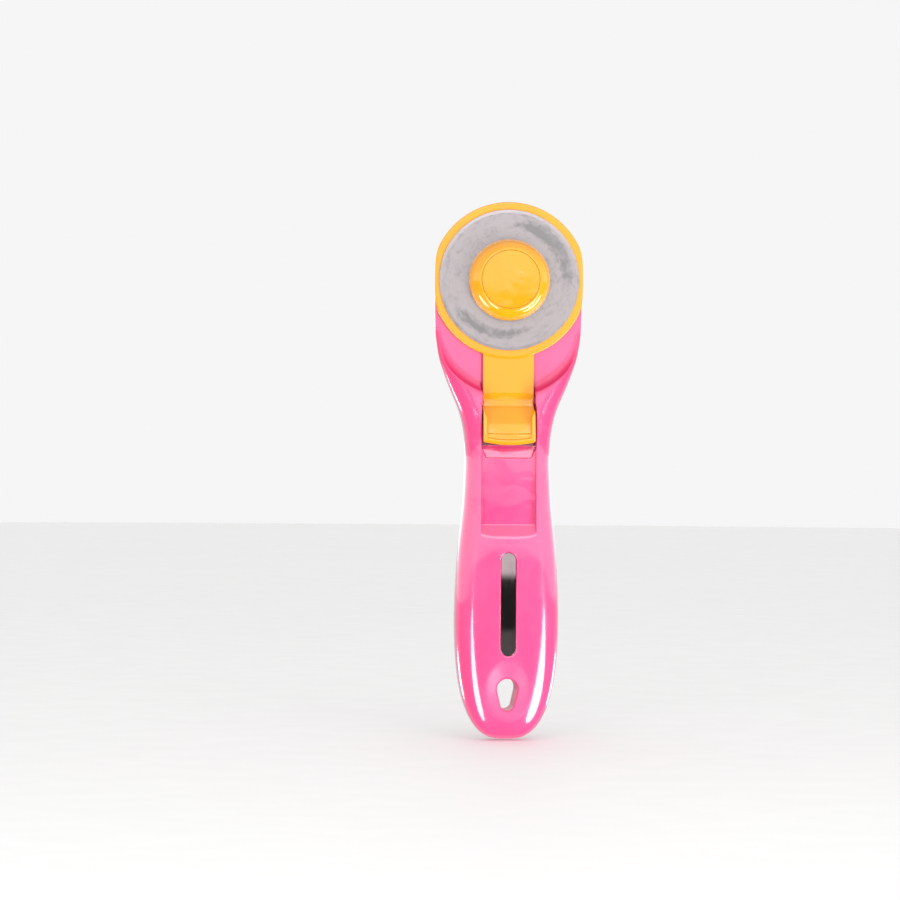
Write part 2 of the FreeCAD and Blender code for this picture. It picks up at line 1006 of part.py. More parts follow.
def handle_body(form, hollows):
    """Head, neck and the front of the grip, in one moulding."""
    blank = joined("handle_blank", [form, spine()])
    tools = head_cuts() + front_cuts() + hollows + [cover_space()]
    trimmed = cut("handle_trimmed", blank, joined("handle_cuts", tools))
    boss = disc("pin_boss", "boss_radius", "0", "boss_front", "boss_back")
    anchor = disc(
        "spring_anchor", "anchor_radius", "anchor_height", "spine_root", "anchor_back"
    )
    filled = joined("handle_filled", [trimmed, boss, anchor])
    bore = disc("pin_bore", "pin_hole_radius", "0", "-through", "through")
    return cut("handle_body", filled, bore)


def back_cover(form, neck_hollow):
    """The back of the grip, with a lip that enters the handle's hollow."""
    shell = shared("cover_form", [form, cover_space()])
    lip_outer = block(
        "lip_outer",
        (
            "-grip_cavity_half_width + lip_gap",
            "cover_front - lip_depth",
            "grip_cavity_bottom + lip_gap",
        ),
        (
            "grip_cavity_half_width - lip_gap",
            "cover_front + lip_wall",
            "grip_cavity_top - lip_gap",
        ),
    )
    lip_inner = block(
        "lip_inner",
        (
            "-grip_cavity_half_width + lip_gap + lip_wall",
            "cover_front - lip_depth - lip_clear",
            "grip_cavity_bottom + lip_gap + lip_wall",
        ),
        (
            "grip_cavity_half_width - lip_gap - lip_wall",
            "cavity_back",
            "grip_cavity_top - lip_gap - lip_wall",
        ),
    )
    lip = cut("cover_lip", lip_outer, lip_inner)
    dished = cut("cover_dished", shell, joined("cover_hollow", [neck_hollow, lip_inner]))
    with_lip = joined("cover_with_lip", [dished, lip])
    return cut("back_cover", with_lip, hang_hole("cover_hole"))


def badge_strip():
    """Bright strip with round ends, let into the front of the grip."""
    body = doc.addObject("PartDesign::Body", "badge_strip")
    half = "badge_half_width"
    outline = body_sketch(
        body,
        "badge_outline",
        "XZ_Plane",
        [
            (half, f"badge_top - {half}"),
            ("0", "badge_top", half),
            (f"-{half}", f"badge_top - {half}", half),
            (f"-{half}", f"badge_bottom + {half}"),
            ("0", "badge_bottom", half),
            (half, f"badge_bottom + {half}", half),
        ],
        "-badge_floor",
    )
    feature(body, "Pad", "badge_plate", outline, "badge_floor - badge_front")
    return body


# --- release slider and springs -------------------------------------------------------------------


def release_slider():
    """Hollow slide with a thumb ridge, side tongues and a wedge for the hairpin spring."""
    body = doc.addObject("PartDesign::Body", "release_slider")
    top = "spine_back - slider_gap"
    bend = "spine_bend_radius - slider_gap"
    drop = f"sqrt(({bend}) ^ 2 - (slider_top - spine_bend_height) ^ 2)"
    side = body_sketch(
        body,
        "slider_side",
        "YZ_Plane",
        [
            ("slider_skirt", "slider_bottom"),
            ("slider_skirt", "slider_top"),
            (f"{top} - ({bend}) + {drop}", "slider_top"),
            (top, "spine_bend_height", f"-({bend})"),
            (top, "ridge_top"),
            (f"{top} + ridge_height", "ridge_top - ridge_top_slope"),
            (f"{top} + ridge_height", "ridge_bottom + ridge_bottom_slope"),
            (f"{top} - slider_foot_drop", "slider_bottom"),
        ],
    )
    feature(body, "Pad", "slider_block", side, "2 * slider_half_width", both_ways=True)
    inside = body_sketch(
        body,
        "slider_inside",
        "YZ_Plane",
        [
            ("0", "slider_bottom + slider_wall"),
            ("slider_under", "slider_bottom + slider_wall"),
            ("slider_under", "slider_top + through"),
            ("0", "slider_top + through"),
        ],
    )
    hollow_width = "2 * (slider_half_width - slider_wall)"
    feature(body, "Pocket", "slider_hollow", inside, hollow_width, both_ways=True)
    tongue = body_sketch(
        body,
        "tongue_side",
        "YZ_Plane",
        [
            ("tongue_front", "tongue_bottom"),
            ("tongue_front", "tongue_top"),
            ("tongue_back", "tongue_top"),
            ("tongue_back", "tongue_bottom"),
        ],
    )
    tongue_width = "2 * (slider_half_width + tongue_reach)"
    feature(body, "Pad", "tongues", tongue, tongue_width, both_ways=True)
    feature(body, "Pocket", "tongue_room", inside, hollow_width, both_ways=True)
    wedge = body_sketch(
        body,
        "wedge_side",
        "YZ_Plane",
        [
            ("wedge_front", "wedge_bottom"),
            ("wedge_front", "wedge_top"),
            ("slider_under + wedge_root", "wedge_top"),
            ("slider_under + wedge_root", "wedge_bottom"),
        ],
    )
    feature(body, "Pad", "wedge", wedge, "2 * wedge_half_width", both_ways=True)
    return body


def latch_spring():
    """Round wire hairpin: its legs hold the pin's neck, its foot wraps the anchor post."""
    depth = size("wire_depth")
    gap = size("wire_half_gap")
    foot = size("wire_foot_radius")
    anchor = size("anchor_height")
    bend = size("wire_bend_top")
    thick = size("wire_radius")

    def at(across, height):
        return FreeCAD.Vector(across, depth, height)

    def rod(start, end):
        return Part.makeCylinder(thick, (end - start).Length, start, end - start)

    turn_axis = FreeCAD.Vector(0, 1, 0)
    rim = Part.makeCircle(thick, at(foot, anchor), FreeCAD.Vector(0, 0, 1))
    wire = Part.Face(Part.Wire(rim)).revolve(at(0, anchor), turn_axis, 180)
    for side in (1, -1):
        wire = wire.fuse(
            [
                rod(at(side * gap, size("wire_top")), at(side * gap, bend)),
                Part.makeSphere(thick, at(side * gap, bend)),
                rod(at(side * gap, bend), at(side * foot, anchor)),
                Part.makeSphere(thick, at(side * foot, anchor)),
            ]
        )
    return made_of("latch_spring", wire)


def guard_spring():
    """Bowed steel leaf between the neck's back wall and the guard's legs."""
    body = doc.addObject("PartDesign::Body", "guard_spring")
    middle = "(leaf_spring_top + leaf_spring_bottom) / 2"
    inner_belly = "leaf_spring_belly + leaf_spring_thickness"
    rise = "(leaf_spring_back - leaf_spring_belly)"
    half = "((leaf_spring_top - leaf_spring_bottom) / 2)"
    bow = f"({half} ^ 2 + {rise} ^ 2) / (2 * {rise})"
    inner_bow = f"{bow} - leaf_spring_thickness"
    side = body_sketch(
        body,
        "spring_side",
        "YZ_Plane",
        [
            ("leaf_spring_back", "leaf_spring_top"),
            ("leaf_spring_belly", middle, bow),
            ("leaf_spring_back", "leaf_spring_bottom", bow),
            ("leaf_spring_back", "leaf_spring_bottom + leaf_spring_foot"),
            (inner_belly, middle, f"-({inner_bow})"),
            ("leaf_spring_back", "leaf_spring_top - leaf_spring_foot", f"-({inner_bow})"),
        ],
    )
    feature(body, "Pad", "leaf", side, "2 * leaf_spring_half_width", both_ways=True)
    return body


# --- the whole cutter -----------------------------------------------------------------------------


def check(thing):
    """Stop if an object failed or its shape is missing or broken."""
    if {"Invalid", "Error"} & set(thing.State):
        raise RuntimeError(f"{thing.Label} is {thing.State}")
    if thing.isDerivedFrom("Spreadsheet::Sheet") or thing.isDerivedFrom("App::Origin"):
        return
    if hasattr(thing, "Shape") and not thing.isDerivedFrom("App::OriginFeature"):
        if thing.Shape.isNull() or not thing.Shape.isValid():
            raise RuntimeError(f"{thing.Label} has no valid shape")


def build():
    form = outer_form()
    neck_hollow = neck_cavity()
    pieces = [
        handle_body(form, [neck_hollow, grip_cavity()]),
        back_cover(form, neck_hollow),
        badge_strip(),
        blade_guard(),
        guard_spring(),
        rotary_blade(),
        blade_washer(),
        pin_shaft(),
        pin_cap(),
        cap_disc(),
        release_slider(),
        latch_spring(),
    ]
    doc.recompute()
    for thing in doc.Objects:
        check(thing)
    os.makedirs("parts", exist_ok=True)
    for piece in pieces:
        if len(piece.Shape.Solids) != 1:
            raise RuntimeError(f"{piece.Label} has {len(piece.Shape.Solids)} solids")
        piece.Shape.exportStep(f"parts/{piece.Label}.step")
        box = piece.Shape.BoundBox
        print(
            f"{piece.Label:16s} volume {piece.Shape.Volume:9.1f}"
            f"  x {box.XMin:7.2f} {box.XMax:7.2f}"
            f"  y {box.YMin:7.2f} {box.YMax:7.2f}"
            f"  z {box.ZMin:8.2f} {box.ZMax:7.2f}"
        )


build()
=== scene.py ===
"""Looks of the quick-change rotary cutter: smooth mouldings, oiled blade, bright badge and studio."""

import math

import bpy
import numpy as np
from mathutils import Matrix, Vector


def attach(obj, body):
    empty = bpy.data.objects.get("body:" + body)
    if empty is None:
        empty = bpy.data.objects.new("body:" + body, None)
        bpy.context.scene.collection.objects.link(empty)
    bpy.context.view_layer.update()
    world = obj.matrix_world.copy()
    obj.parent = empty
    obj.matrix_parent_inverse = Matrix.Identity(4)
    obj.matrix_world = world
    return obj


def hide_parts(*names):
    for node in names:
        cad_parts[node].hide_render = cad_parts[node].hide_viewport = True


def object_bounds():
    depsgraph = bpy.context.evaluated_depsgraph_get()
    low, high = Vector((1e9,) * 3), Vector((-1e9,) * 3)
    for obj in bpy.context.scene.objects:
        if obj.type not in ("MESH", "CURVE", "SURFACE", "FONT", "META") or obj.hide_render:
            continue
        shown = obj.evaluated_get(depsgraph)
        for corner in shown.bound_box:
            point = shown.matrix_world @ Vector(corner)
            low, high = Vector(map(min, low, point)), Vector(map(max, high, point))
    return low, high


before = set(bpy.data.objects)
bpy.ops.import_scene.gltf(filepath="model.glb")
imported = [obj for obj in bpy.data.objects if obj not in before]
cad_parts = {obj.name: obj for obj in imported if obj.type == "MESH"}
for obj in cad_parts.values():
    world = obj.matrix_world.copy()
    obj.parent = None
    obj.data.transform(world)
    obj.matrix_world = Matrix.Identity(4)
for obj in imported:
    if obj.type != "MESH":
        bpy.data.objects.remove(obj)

CAD_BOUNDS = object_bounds()
MM = 0.001

# --- solids as fields ------------------------------------------------------------------------------
# A solid is a function of x, y and z in millimetres that is negative inside it and close to the
# distance from its surface. Combining two fields with a radius rounds the edge where they meet.


def both(a, b, radius=0.0):
    """What two solids share, its new edges rounded."""
    if radius == 0:
        return np.maximum(a, b)
    corner = np.hypot(np.maximum(a + radius, 0), np.maximum(b + radius, 0))
    return np.minimum(-radius, np.maximum(a, b)) + corner


def either(a, b, radius=0.0):
    """Two solids joined, with a fillet where they meet."""
    return -both(-a, -b, radius)


def without(a, b, radius=0.0):
    """The first solid with the second cut away."""
    return both(a, -b, radius)


def between(v, low, high):
    return np.abs(v - (low + high) / 2) - (high - low) / 2


def box(x, y, z, low, high):
    sides = both(between(x, low[0], high[0]), between(z, low[2], high[2]))
    return both(sides, between(y, low[1], high[1]))


def smooth_curve(heights, values, at, blur=2.5):
    """A curve through stations, eased at each station so that it has no corner."""
    order = np.argsort(heights)
    knots = np.array(heights, float)[order]
    levels = np.array(values, float)[order]
    step = 0.25
    fine = np.arange(knots[0] - 8 * blur, knots[-1] + 8 * blur, step)
    reach = np.arange(-4 * blur, 4 * blur + step, step)
    weights = np.exp(-0.5 * (reach / blur) ** 2)
    straight = np.pad(np.interp(fine, knots, levels), len(reach) // 2, mode="edge")
    eased = np.convolve(straight, weights / weights.sum(), mode="valid")[: len(fine)]
    return np.interp(at, fine, eased)


# --- from a field to a mesh ------------------------------------------------------------------------


def surface_net(field, low, high, cell):
    """Vertices and quads of a field's zero surface: one vertex in each crossed cell of a grid."""
    axes = [np.arange(a - 2 * cell, b + 3 * cell, cell) for a, b in zip(low, high)]
    grids = np.meshgrid(*axes, indexing="ij", sparse=True)
    values = np.broadcast_to(field(*grids), [len(a) for a in axes]).astype(np.float32)
    shape = np.array(values.shape)
    strides = np.array([shape[1] * shape[2], shape[2], 1])
    size = int(shape.prod())
    total = np.zeros((size, 3))
    count = np.zeros(size)
    crossings = []
    for axis in range(3):
        lower = np.take(values, range(shape[axis] - 1), axis=axis)
        upper = np.take(values, range(1, shape[axis]), axis=axis)
        spots = np.argwhere((lower < 0) != (upper < 0))
        near = lower[tuple(spots.T)]
        far = upper[tuple(spots.T)]
        points = spots.astype(float)
        points[:, axis] += near / (near - far)
        side, other = (axis + 1) % 3, (axis + 2) % 3
        corner = spots @ strides
        cells = [
            corner - a * strides[side] - b * strides[other]
            for a, b in ((1, 1), (0, 1), (0, 0), (1, 0))
        ]
        for ids in cells:
            for k in range(3):
                total[:, k] += np.bincount(ids, points[:, k], size)
            count += np.bincount(ids, minlength=size)
        quads = np.stack(cells, 1)
        quads[near >= 0] = quads[near >= 0][:, ::-1]
        crossings.append(quads)
    used = np.flatnonzero(count)
    index = np.full(size, -1)
    index[used] = np.arange(len(used))
    start = np.array([a[0] for a in axes])
    vertices = start + cell * total[used] / count[used, None]
    return vertices, index[np.concatenate(crossings)]


def slope(field, points, reach=0.03):
    """The field's gradient at each point."""
    found = np.empty_like(points)
    for axis in range(3):
        ahead = points.copy()
        behind = points.copy()
        ahead[:, axis] += reach
        behind[:, axis] -= reach
        found[:, axis] = (field(*ahead.T) - field(*behind.T)) / (2 * reach)
    return found


def settle(field, points, cell):
    """Move points down the field's slope onto its surface."""
    way = slope(field, points)
    steep = np.maximum((way**2).sum(1), 0.05)
    move = -way * (field(*points.T) / steep)[:, None]
    length = np.linalg.norm(move, axis=1)
    return points + move * np.minimum(1, 0.5 * cell / np.maximum(length, 1e-9))[:, None]


def relax(points, quads, amount=0.5):
    """Even out a mesh by moving each vertex towards the middle of its neighbours."""
    total = np.zeros_like(points)
    count = np.zeros(len(points))
    for a, b in ((0, 1), (1, 2), (2, 3), (3, 0)):
        for here, there in ((quads[:, a], quads[:, b]), (quads[:, b], quads[:, a])):
            for k in range(3):
                total[:, k] += np.bincount(here, points[there, k], len(points))
            count += np.bincount(here, minlength=len(points))
    return points + amount * (total / count[:, None] - points)


def mesh_object(name, vertices, faces, normals=None):
    """A Blender object from points in millimetres and faces of equal or different length."""
    mesh = bpy.data.meshes.new(name)
    mesh.from_pydata((np.asarray(vertices) * MM).tolist(), [], [list(map(int, f)) for f in faces])
    mesh.shade_smooth()
    if normals is not None:
        mesh.normals_split_custom_set_from_vertices(normals.tolist())
    thing = bpy.data.objects.new(name, mesh)
    bpy.context.scene.collection.objects.link(thing)
    return thing


def moulded(name, field, low, high, cell):
    """A smooth closed mesh of a field."""
    points, quads = surface_net(field, low, high, cell)
    for _ in range(2):
        points = settle(field, points, cell)
    for _ in range(2):
        points = relax(points, quads)
        points = settle(field, points, cell)
    points = settle(field, points, cell)
    normals = slope(field, points)
    normals /= np.maximum(np.linalg.norm(normals, axis=1), 1e-9)[:, None]
    print(name, len(points), "vertices", len(quads), "quads", flush=True)
    return mesh_object(name, points, quads, normals)


# --- sizes, in millimetres, z up from the blade's axis and y back from the blade's middle -----------

HEAD_LEVEL = -6.6
HEAD_TIP = 13.8
HEAD_HALF_WIDTH = 23.7
PALM_LEVEL = -105.0
PALM_HALF_WIDTH = 16.75
TAIL_TIP = -147.45
# outline stations: level, the handle's half width, front depth and back depth there
STATIONS = (
    (HEAD_LEVEL, HEAD_HALF_WIDTH, -1.5, 6.5),
    (-17.0, 23.5, -1.7, 7.8),
    (-26.0, 22.1, -2.6, 9.8),
    (-34.5, 18.9, -3.4, 11.6),
    (-42.5, 15.3, -4.0, 12.8),
    (-50.0, 13.8, -4.2, 13.3),
    (-58.0, 13.5, -4.3, 13.4),
    (-72.0, 14.15, -4.8, 13.4),
    (-88.0, 15.9, -5.0, 13.4),
    (PALM_LEVEL, PALM_HALF_WIDTH, -5.0, 13.4),
)
SQUARENESS = 3.0
TAIL_ROUNDNESS = 2.7
BACK_FLAT = 12.97

GUARD_RADIUS = 25.05
GUARD_HALF_WIDTH = 23.85
GUARD_FRONT = 0.35
GUARD_BACK = 1.65
STRAP_HALF_WIDTH = 8.2
THUMB_HALF_WIDTH = 8.35
THUMB_TOP = -40.4
THUMB_BOTTOM = -52.95
THUMB_FRONT = -5.18
THUMB_UNDER = -2.3
STRAP_END = -46.3

POCKET_LEVEL = -12.2
POCKET_RADIUS = 25.0
POCKET_FLOOR = 1.95
PLATE_BACK = 3.45
RIB_OUTER = 7.6
CHANNEL_HALF_WIDTH = 6.0
SPINE_BACK = 13.3
SPINE_BEND_LEVEL = -10.0
SPINE_BEND_RADIUS = 43.5
RECESS_FLOOR = -2.0
RECESS_HALF_WIDTH = 8.65
RECESS_DRAFT = 0.05
RECESS_END = -78.3
RUN_OUT_SLOPE = 3.0 / 4.2
WINDOW_HALF_WIDTH = 8.75
RAMP_TOP_HALF_WIDTH = 6.6
RAMP_FOOT = -53.3
RAMP_TOP = -58.8
RAMP_DEPTH = -0.5
BADGE_ENDS = (-117.85, -89.65)
BADGE_SLOT = 2.45
BADGE_LEAN = math.tan(math.radians(0.79))
DISH_MIDDLE = -132.0
DISH_REACH = (7.4, 9.6, 4.4)
DISH_DEPTH = -7.0
COVER_TOP = -54.0
COVER_FRONT = 8.0


# --- handle ------------------------------------------------------------------------------------------


def outline(z):
    """Half width, front depth and back depth of the handle at each level."""
    levels = [s[0] for s in STATIONS]
    front, back = (smooth_curve(levels, [s[k] for s in STATIONS], z, 3.0) for k in (2, 3))
    up = np.clip((z - HEAD_LEVEL) / (HEAD_TIP - HEAD_LEVEL), 0, 1)
    down = np.clip((z - PALM_LEVEL) / (TAIL_TIP - PALM_LEVEL), 0, 1)
    middle = smooth_curve(
        [HEAD_LEVEL + 12] + levels + [PALM_LEVEL - 12],
        [HEAD_HALF_WIDTH] + [s[1] for s in STATIONS] + [PALM_HALF_WIDTH],
        z,
    )
    tail = (1 - down**TAIL_ROUNDNESS) ** (1 / TAIL_ROUNDNESS)
    half_width = middle * np.sqrt(1 - up**2) * tail
    thin = np.sqrt(1 - up**4) * np.sqrt(1 - down**4)
    centre = (front + back) / 2
    half_depth = (back - front) / 2 * thin
    return half_width, centre, half_depth


def outer_form(x, y, z):
    """The handle's outer surface: squarish ovals, closed by rounded ends."""
    half_width, centre, half_depth = outline(z)
    half_width = np.maximum(half_width, 0.05)
    half_depth = np.maximum(half_depth, 0.05)
    across = np.abs(x) / half_width
    deep = np.abs(y - centre) / half_depth
    n = SQUARENESS
    level = np.maximum(across**n + deep**n, 1e-9) ** (1 / n)
    rate = level ** (1 - n) * np.hypot(
        across ** (n - 1) / half_width, deep ** (n - 1) / half_depth
    )
    rate = np.maximum(rate, 0.5 / np.maximum(half_width, half_depth))
    oval = (level - 1) / rate
    ends = np.maximum(z - HEAD_TIP, TAIL_TIP - z)
    return np.maximum(oval, ends)


def spine_top(z, drop=0.0):
    """Depth of the ribs' and the slider's outer face at each level."""
    bend = SPINE_BEND_RADIUS - drop
    past = np.clip(z - SPINE_BEND_LEVEL, 0, bend - 1)
    return SPINE_BACK - drop - (bend - np.sqrt(bend**2 - past**2))


def arc_centre(start, end, radius):
    """Centre of the arc between two points, to the left of the way from start to end."""
    middle = (Vector(start) + Vector(end)) / 2
    way = Vector(end) - Vector(start)
    left = Vector((-way.y, way.x)).normalized()
    return middle + left * math.sqrt(radius**2 - (way.length / 2) ** 2)


def leaf_hollow(x, z):
    """Outline of the hollow on each side of the ribs."""
    point = (RIB_OUTER, -37.0)
    widest = (21.3, -12.0)
    crown = (RIB_OUTER, 10.3)
    flank_centre = arc_centre(point, widest, 70.0)
    crown_centre = arc_centre(widest, crown, 19.0)
    side = np.abs(x)
    flank = np.hypot(side - flank_centre.x, z - flank_centre.y) - 70.0
    round_end = np.hypot(side - crown_centre.x, z - crown_centre.y) - 19.0
    edge = np.where(z < widest[1], flank, round_end)
    return both(edge, RIB_OUTER - side, 0.6)


def hang_hole(x, z):
    """Egg outline of the hole in the tail."""
    upper, lower, drop = 3.3, 2.2, 4.7
    side = np.abs(x)
    down = -131.0 - z
    lean = (upper - lower) / drop
    level = math.sqrt(1 - lean * lean)
    along = -lean * side + level * down
    flank = level * side + lean * down - upper
    top = np.hypot(side, down) - upper
    bottom = np.hypot(side, down - drop) - lower
    return np.where(along < 0, top, np.where(along > level * drop, bottom, flank))


def handle_blank(x, y, z):
    """Outer form with the ribs' block behind the head."""
    form = both(outer_form(x, y, z), y - BACK_FLAT, 0.8)
    block = both(np.abs(x) - RIB_OUTER, y - spine_top(z), 0.5)
    block = both(block, z - 12.2 + np.maximum(y - 6.5, 0) * 0.5, 1.2)
    block = both(block, np.maximum(PLATE_BACK - 1 - y, -42.0 - z))
    return either(form, block, 1.2)


def cut_head(solid, x, y, z):
    """Take the guard's pocket, the leaf hollows, windows and slider channel out of the head."""
    pocket = np.hypot(x, np.minimum(z - POCKET_LEVEL, 0)) - POCKET_RADIUS
    solid = without(solid, both(pocket, y - POCKET_FLOOR, 2.4), 0.8)
    solid = without(solid, both(leaf_hollow(x, z), PLATE_BACK - y, 1.0), 0.45)
    window = both(between(np.abs(x), 9.6, 14.6), between(z, -7.0, 6.0), 1.2)
    solid = without(solid, both(window, between(y, 0.0, 9.0)), 0.2)
    channel = both(np.abs(x) - CHANNEL_HALF_WIDTH, between(z, -35.0, 5.3), 0.5)
    solid = without(solid, both(channel, PLATE_BACK - y, 0.4), 0.35)
    groove = both(between(y, 8.3, 9.9), between(z, -30.0, 5.3))
    solid = without(solid, both(groove, np.abs(x) - 6.9))
    boss = both(np.hypot(x, z) - 6.2, between(y, 0.2, 6.2), 0.25)
    anchor = both(np.hypot(x, z + 20.0) - 1.35, between(y, PLATE_BACK - 1, 8.0), 0.3)
    solid = either(solid, np.minimum(boss, anchor), 0.4)
    return without(solid, np.hypot(x, z) - 4.0, 0.2)


def cut_front(solid, x, y, z):
    """Take the guard's channel, ramp, recess, badge seat and hang hole out of the front."""
    channel = both(np.abs(x) - STRAP_HALF_WIDTH - 0.3, between(z, -57.0, -20.0))
    window = both(np.abs(x) - WINDOW_HALF_WIDTH, between(z, RAMP_FOOT - 3, -40.0), 0.5)
    slope_part = np.clip((RAMP_FOOT - z) / (RAMP_FOOT - RAMP_TOP), 0, 1)
    rise = RAMP_DEPTH - RECESS_FLOOR
    tilt = math.cos(math.atan(rise / (RAMP_FOOT - RAMP_TOP)))
    floor = np.where(z > RAMP_FOOT + 0.3, POCKET_FLOOR, RAMP_DEPTH - rise * slope_part)
    deep = (y - floor) * np.where(slope_part > 0, tilt, 1.0)
    taper = (WINDOW_HALF_WIDTH - RAMP_TOP_HALF_WIDTH) * slope_part
    narrow = np.maximum(np.abs(x) - WINDOW_HALF_WIDTH + taper, RAMP_TOP - z)
    opening = np.maximum(both(either(channel, window), narrow), deep)
    sides = np.abs(x) - RECESS_HALF_WIDTH - RECESS_DRAFT * np.maximum(RECESS_FLOOR - y, 0)
    sides = sides / math.hypot(1, RECESS_DRAFT)
    run_out = (y - RECESS_FLOOR) + np.maximum(RECESS_END - z, 0) * RUN_OUT_SLOPE
    length = both(z - RAMP_FOOT, run_out / math.hypot(1, RUN_OUT_SLOPE))
    recess = both(length, sides, 0.25)
    solid = without(solid, either(opening, recess, 0.3), 0.45)
    badge = np.hypot(x, between(z, *BADGE_ENDS).clip(0)) - BADGE_SLOT
    solid = without(solid, both(badge, y + 3.7), 0.3)
    slot = both(np.abs(x) - 3.9, between(z, -50.4, -39.2))
    solid = without(solid, both(slot, between(y, 0.0, 4.5)))
    wide, tall, deep = DISH_REACH
    across, up, in_front = x / wide, (z - DISH_MIDDLE) / tall, (y - DISH_DEPTH) / deep
    near = np.sqrt(across**2 + up**2 + in_front**2)
    steep = np.sqrt((across / wide) ** 2 + (up / tall) ** 2 + (in_front / deep) ** 2)
    dish = near * (near - 1) / np.maximum(steep, 1e-6)
    solid = without(solid, dish, 1.6)
    return without(solid, hang_hole(x, z), 0.8)


def badge_field(x, y, z):
    """Plated strip, leaning back a little towards its top."""
    outline = np.hypot(x, between(z, *BADGE_ENDS).clip(0)) - BADGE_SLOT + 0.02
    front = y + 4.70 - BADGE_LEAN * (z + 120.3)
    return both(both(outline, -front, 0.12), y + 3.72, 0.05)


def hollows(x, y, z):
    """The space inside the neck and grip."""
    neck = box(x, y, z, (-8.5, PLATE_BACK, -63.0), (8.5, 10.8, -38.0))
    grip = box(x, y, z, (-10.6, -0.3, -121.0), (10.6, 10.8, -62.0))
    return either(neck, grip)


def cover_space(y, z):
    return both(COVER_FRONT - y, z - COVER_TOP)


def handle_body_field(x, y, z):
    solid = cut_head(handle_blank(x, y, z), x, y, z)
    solid = without(solid, hollows(x, y, z))
    solid = cut_front(solid, x, y, z)
    return without(solid, cover_space(y, z), 0.12)


def back_cover_field(x, y, z):
    """The back of the grip, with the lip that enters the handle's hollow."""
    shell = both(handle_blank(x, y, z), cover_space(y, z), 0.12)
    neck = box(x, y, z, (-8.5, PLATE_BACK, -63.0), (8.5, 10.8, -38.0))
    room = box(x, y, z, (-9.3, 3.0, -119.7), (9.3, 10.8, -63.3))
    lip = box(x, y, z, (-10.5, 6.5, -120.9), (10.5, 9.0, -62.1))
    shell = without(without(shell, neck), room)
    shell = np.minimum(shell, without(lip, room))
    return without(shell, hang_hole(x, z), 0.6)


# --- outlines with rounded corners -------------------------------------------------------------------


def rounded(corners, steps=7):
    """A closed outline from (across, up, radius) corners, each corner turned into an arc."""
    places = [Vector(c[:2]) for c in corners]
    points = []
    for number, here in enumerate(places):
        radius = corners[number][2] if len(corners[number]) > 2 else 0.0
        back = (places[number - 1] - here).normalized()
        ahead = (places[(number + 1) % len(places)] - here).normalized()
        half = back.angle(ahead) / 2
        if radius == 0 or half > 1.56:
            points.append(here)
            continue
        centre = here + (back + ahead).normalized() * radius / math.sin(half)
        first = here + back * radius / math.tan(half) - centre
        last = here + ahead * radius / math.tan(half) - centre
        turn = math.atan2(first.x * last.y - first.y * last.x, first.dot(last))
        for step in range(steps + 1):
            spin = Matrix.Rotation(turn * step / steps, 2)
            points.append(centre + spin @ first)
    return np.array([tuple(p) for p in points])


def along_arc(start, end, radius, steps=10):
    """Corners along the arc between two points, to the right of its centre's side."""
    centre = arc_centre(start, end, abs(radius)) if radius > 0 else arc_centre(end, start, -radius)
    first = Vector(start) - centre
    last = Vector(end) - centre
    turn = math.atan2(first.x * last.y - first.y * last.x, first.dot(last))
    return [
        tuple(centre + Matrix.Rotation(turn * step / steps, 2) @ first) + (0.0,)
        for step in range(steps + 1)
    ]


def inside_outline(points, u, v):
    """Signed distance from a closed outline, negative inside it."""
    u, v = np.broadcast_arrays(u, v)
    nearest = np.full(u.shape, 1e18)
    crossings = np.zeros(u.shape, bool)
    for (au, av), (bu, bv) in zip(points, np.roll(points, -1, axis=0)):
        du, dv = bu - au, bv - av
        length = du * du + dv * dv
        if length < 1e-12:
            continue
        part = np.clip(((u - au) * du + (v - av) * dv) / length, 0, 1)
        nearest = np.minimum(nearest, (u - au - part * du) ** 2 + (v - av - part * dv) ** 2)
        spans = (av <= v) != (bv <= v)
        side = du * (v - av) - dv * (u - au)
        crossings ^= spans & ((side > 0) == (dv > 0))
    return np.where(crossings, -1, 1) * np.sqrt(nearest)


# --- guard -------------------------------------------------------------------------------------------

BROW = along_arc((-1.0, -40.4), (-4.1, -43.5), 4.0)
SCOOP = [(1.05, -39.9, 4.0), (-3.05, -46.2, 4.0)]
THUMB_SIDE = rounded(
    [(GUARD_BACK, THUMB_TOP)]
    + BROW
    + [
        (THUMB_FRONT, -50.0, 3.0),
        (THUMB_FRONT, THUMB_BOTTOM, 0.9),
        (THUMB_UNDER, THUMB_BOTTOM, 0.3),
        (THUMB_UNDER, STRAP_END, 0.3),
        (GUARD_BACK, STRAP_END, 0.3),
    ]
)
SCOOP_SIDE = rounded(
    [(-12.0, -38.0), (1.05, -38.0)]
    + SCOOP
    + [
        (-3.9, -49.2, 0.5),
        (-4.35, -49.7, 0.3),
        (-4.5, -51.2, 0.4),
        (-12.0, -51.2),
    ]
)


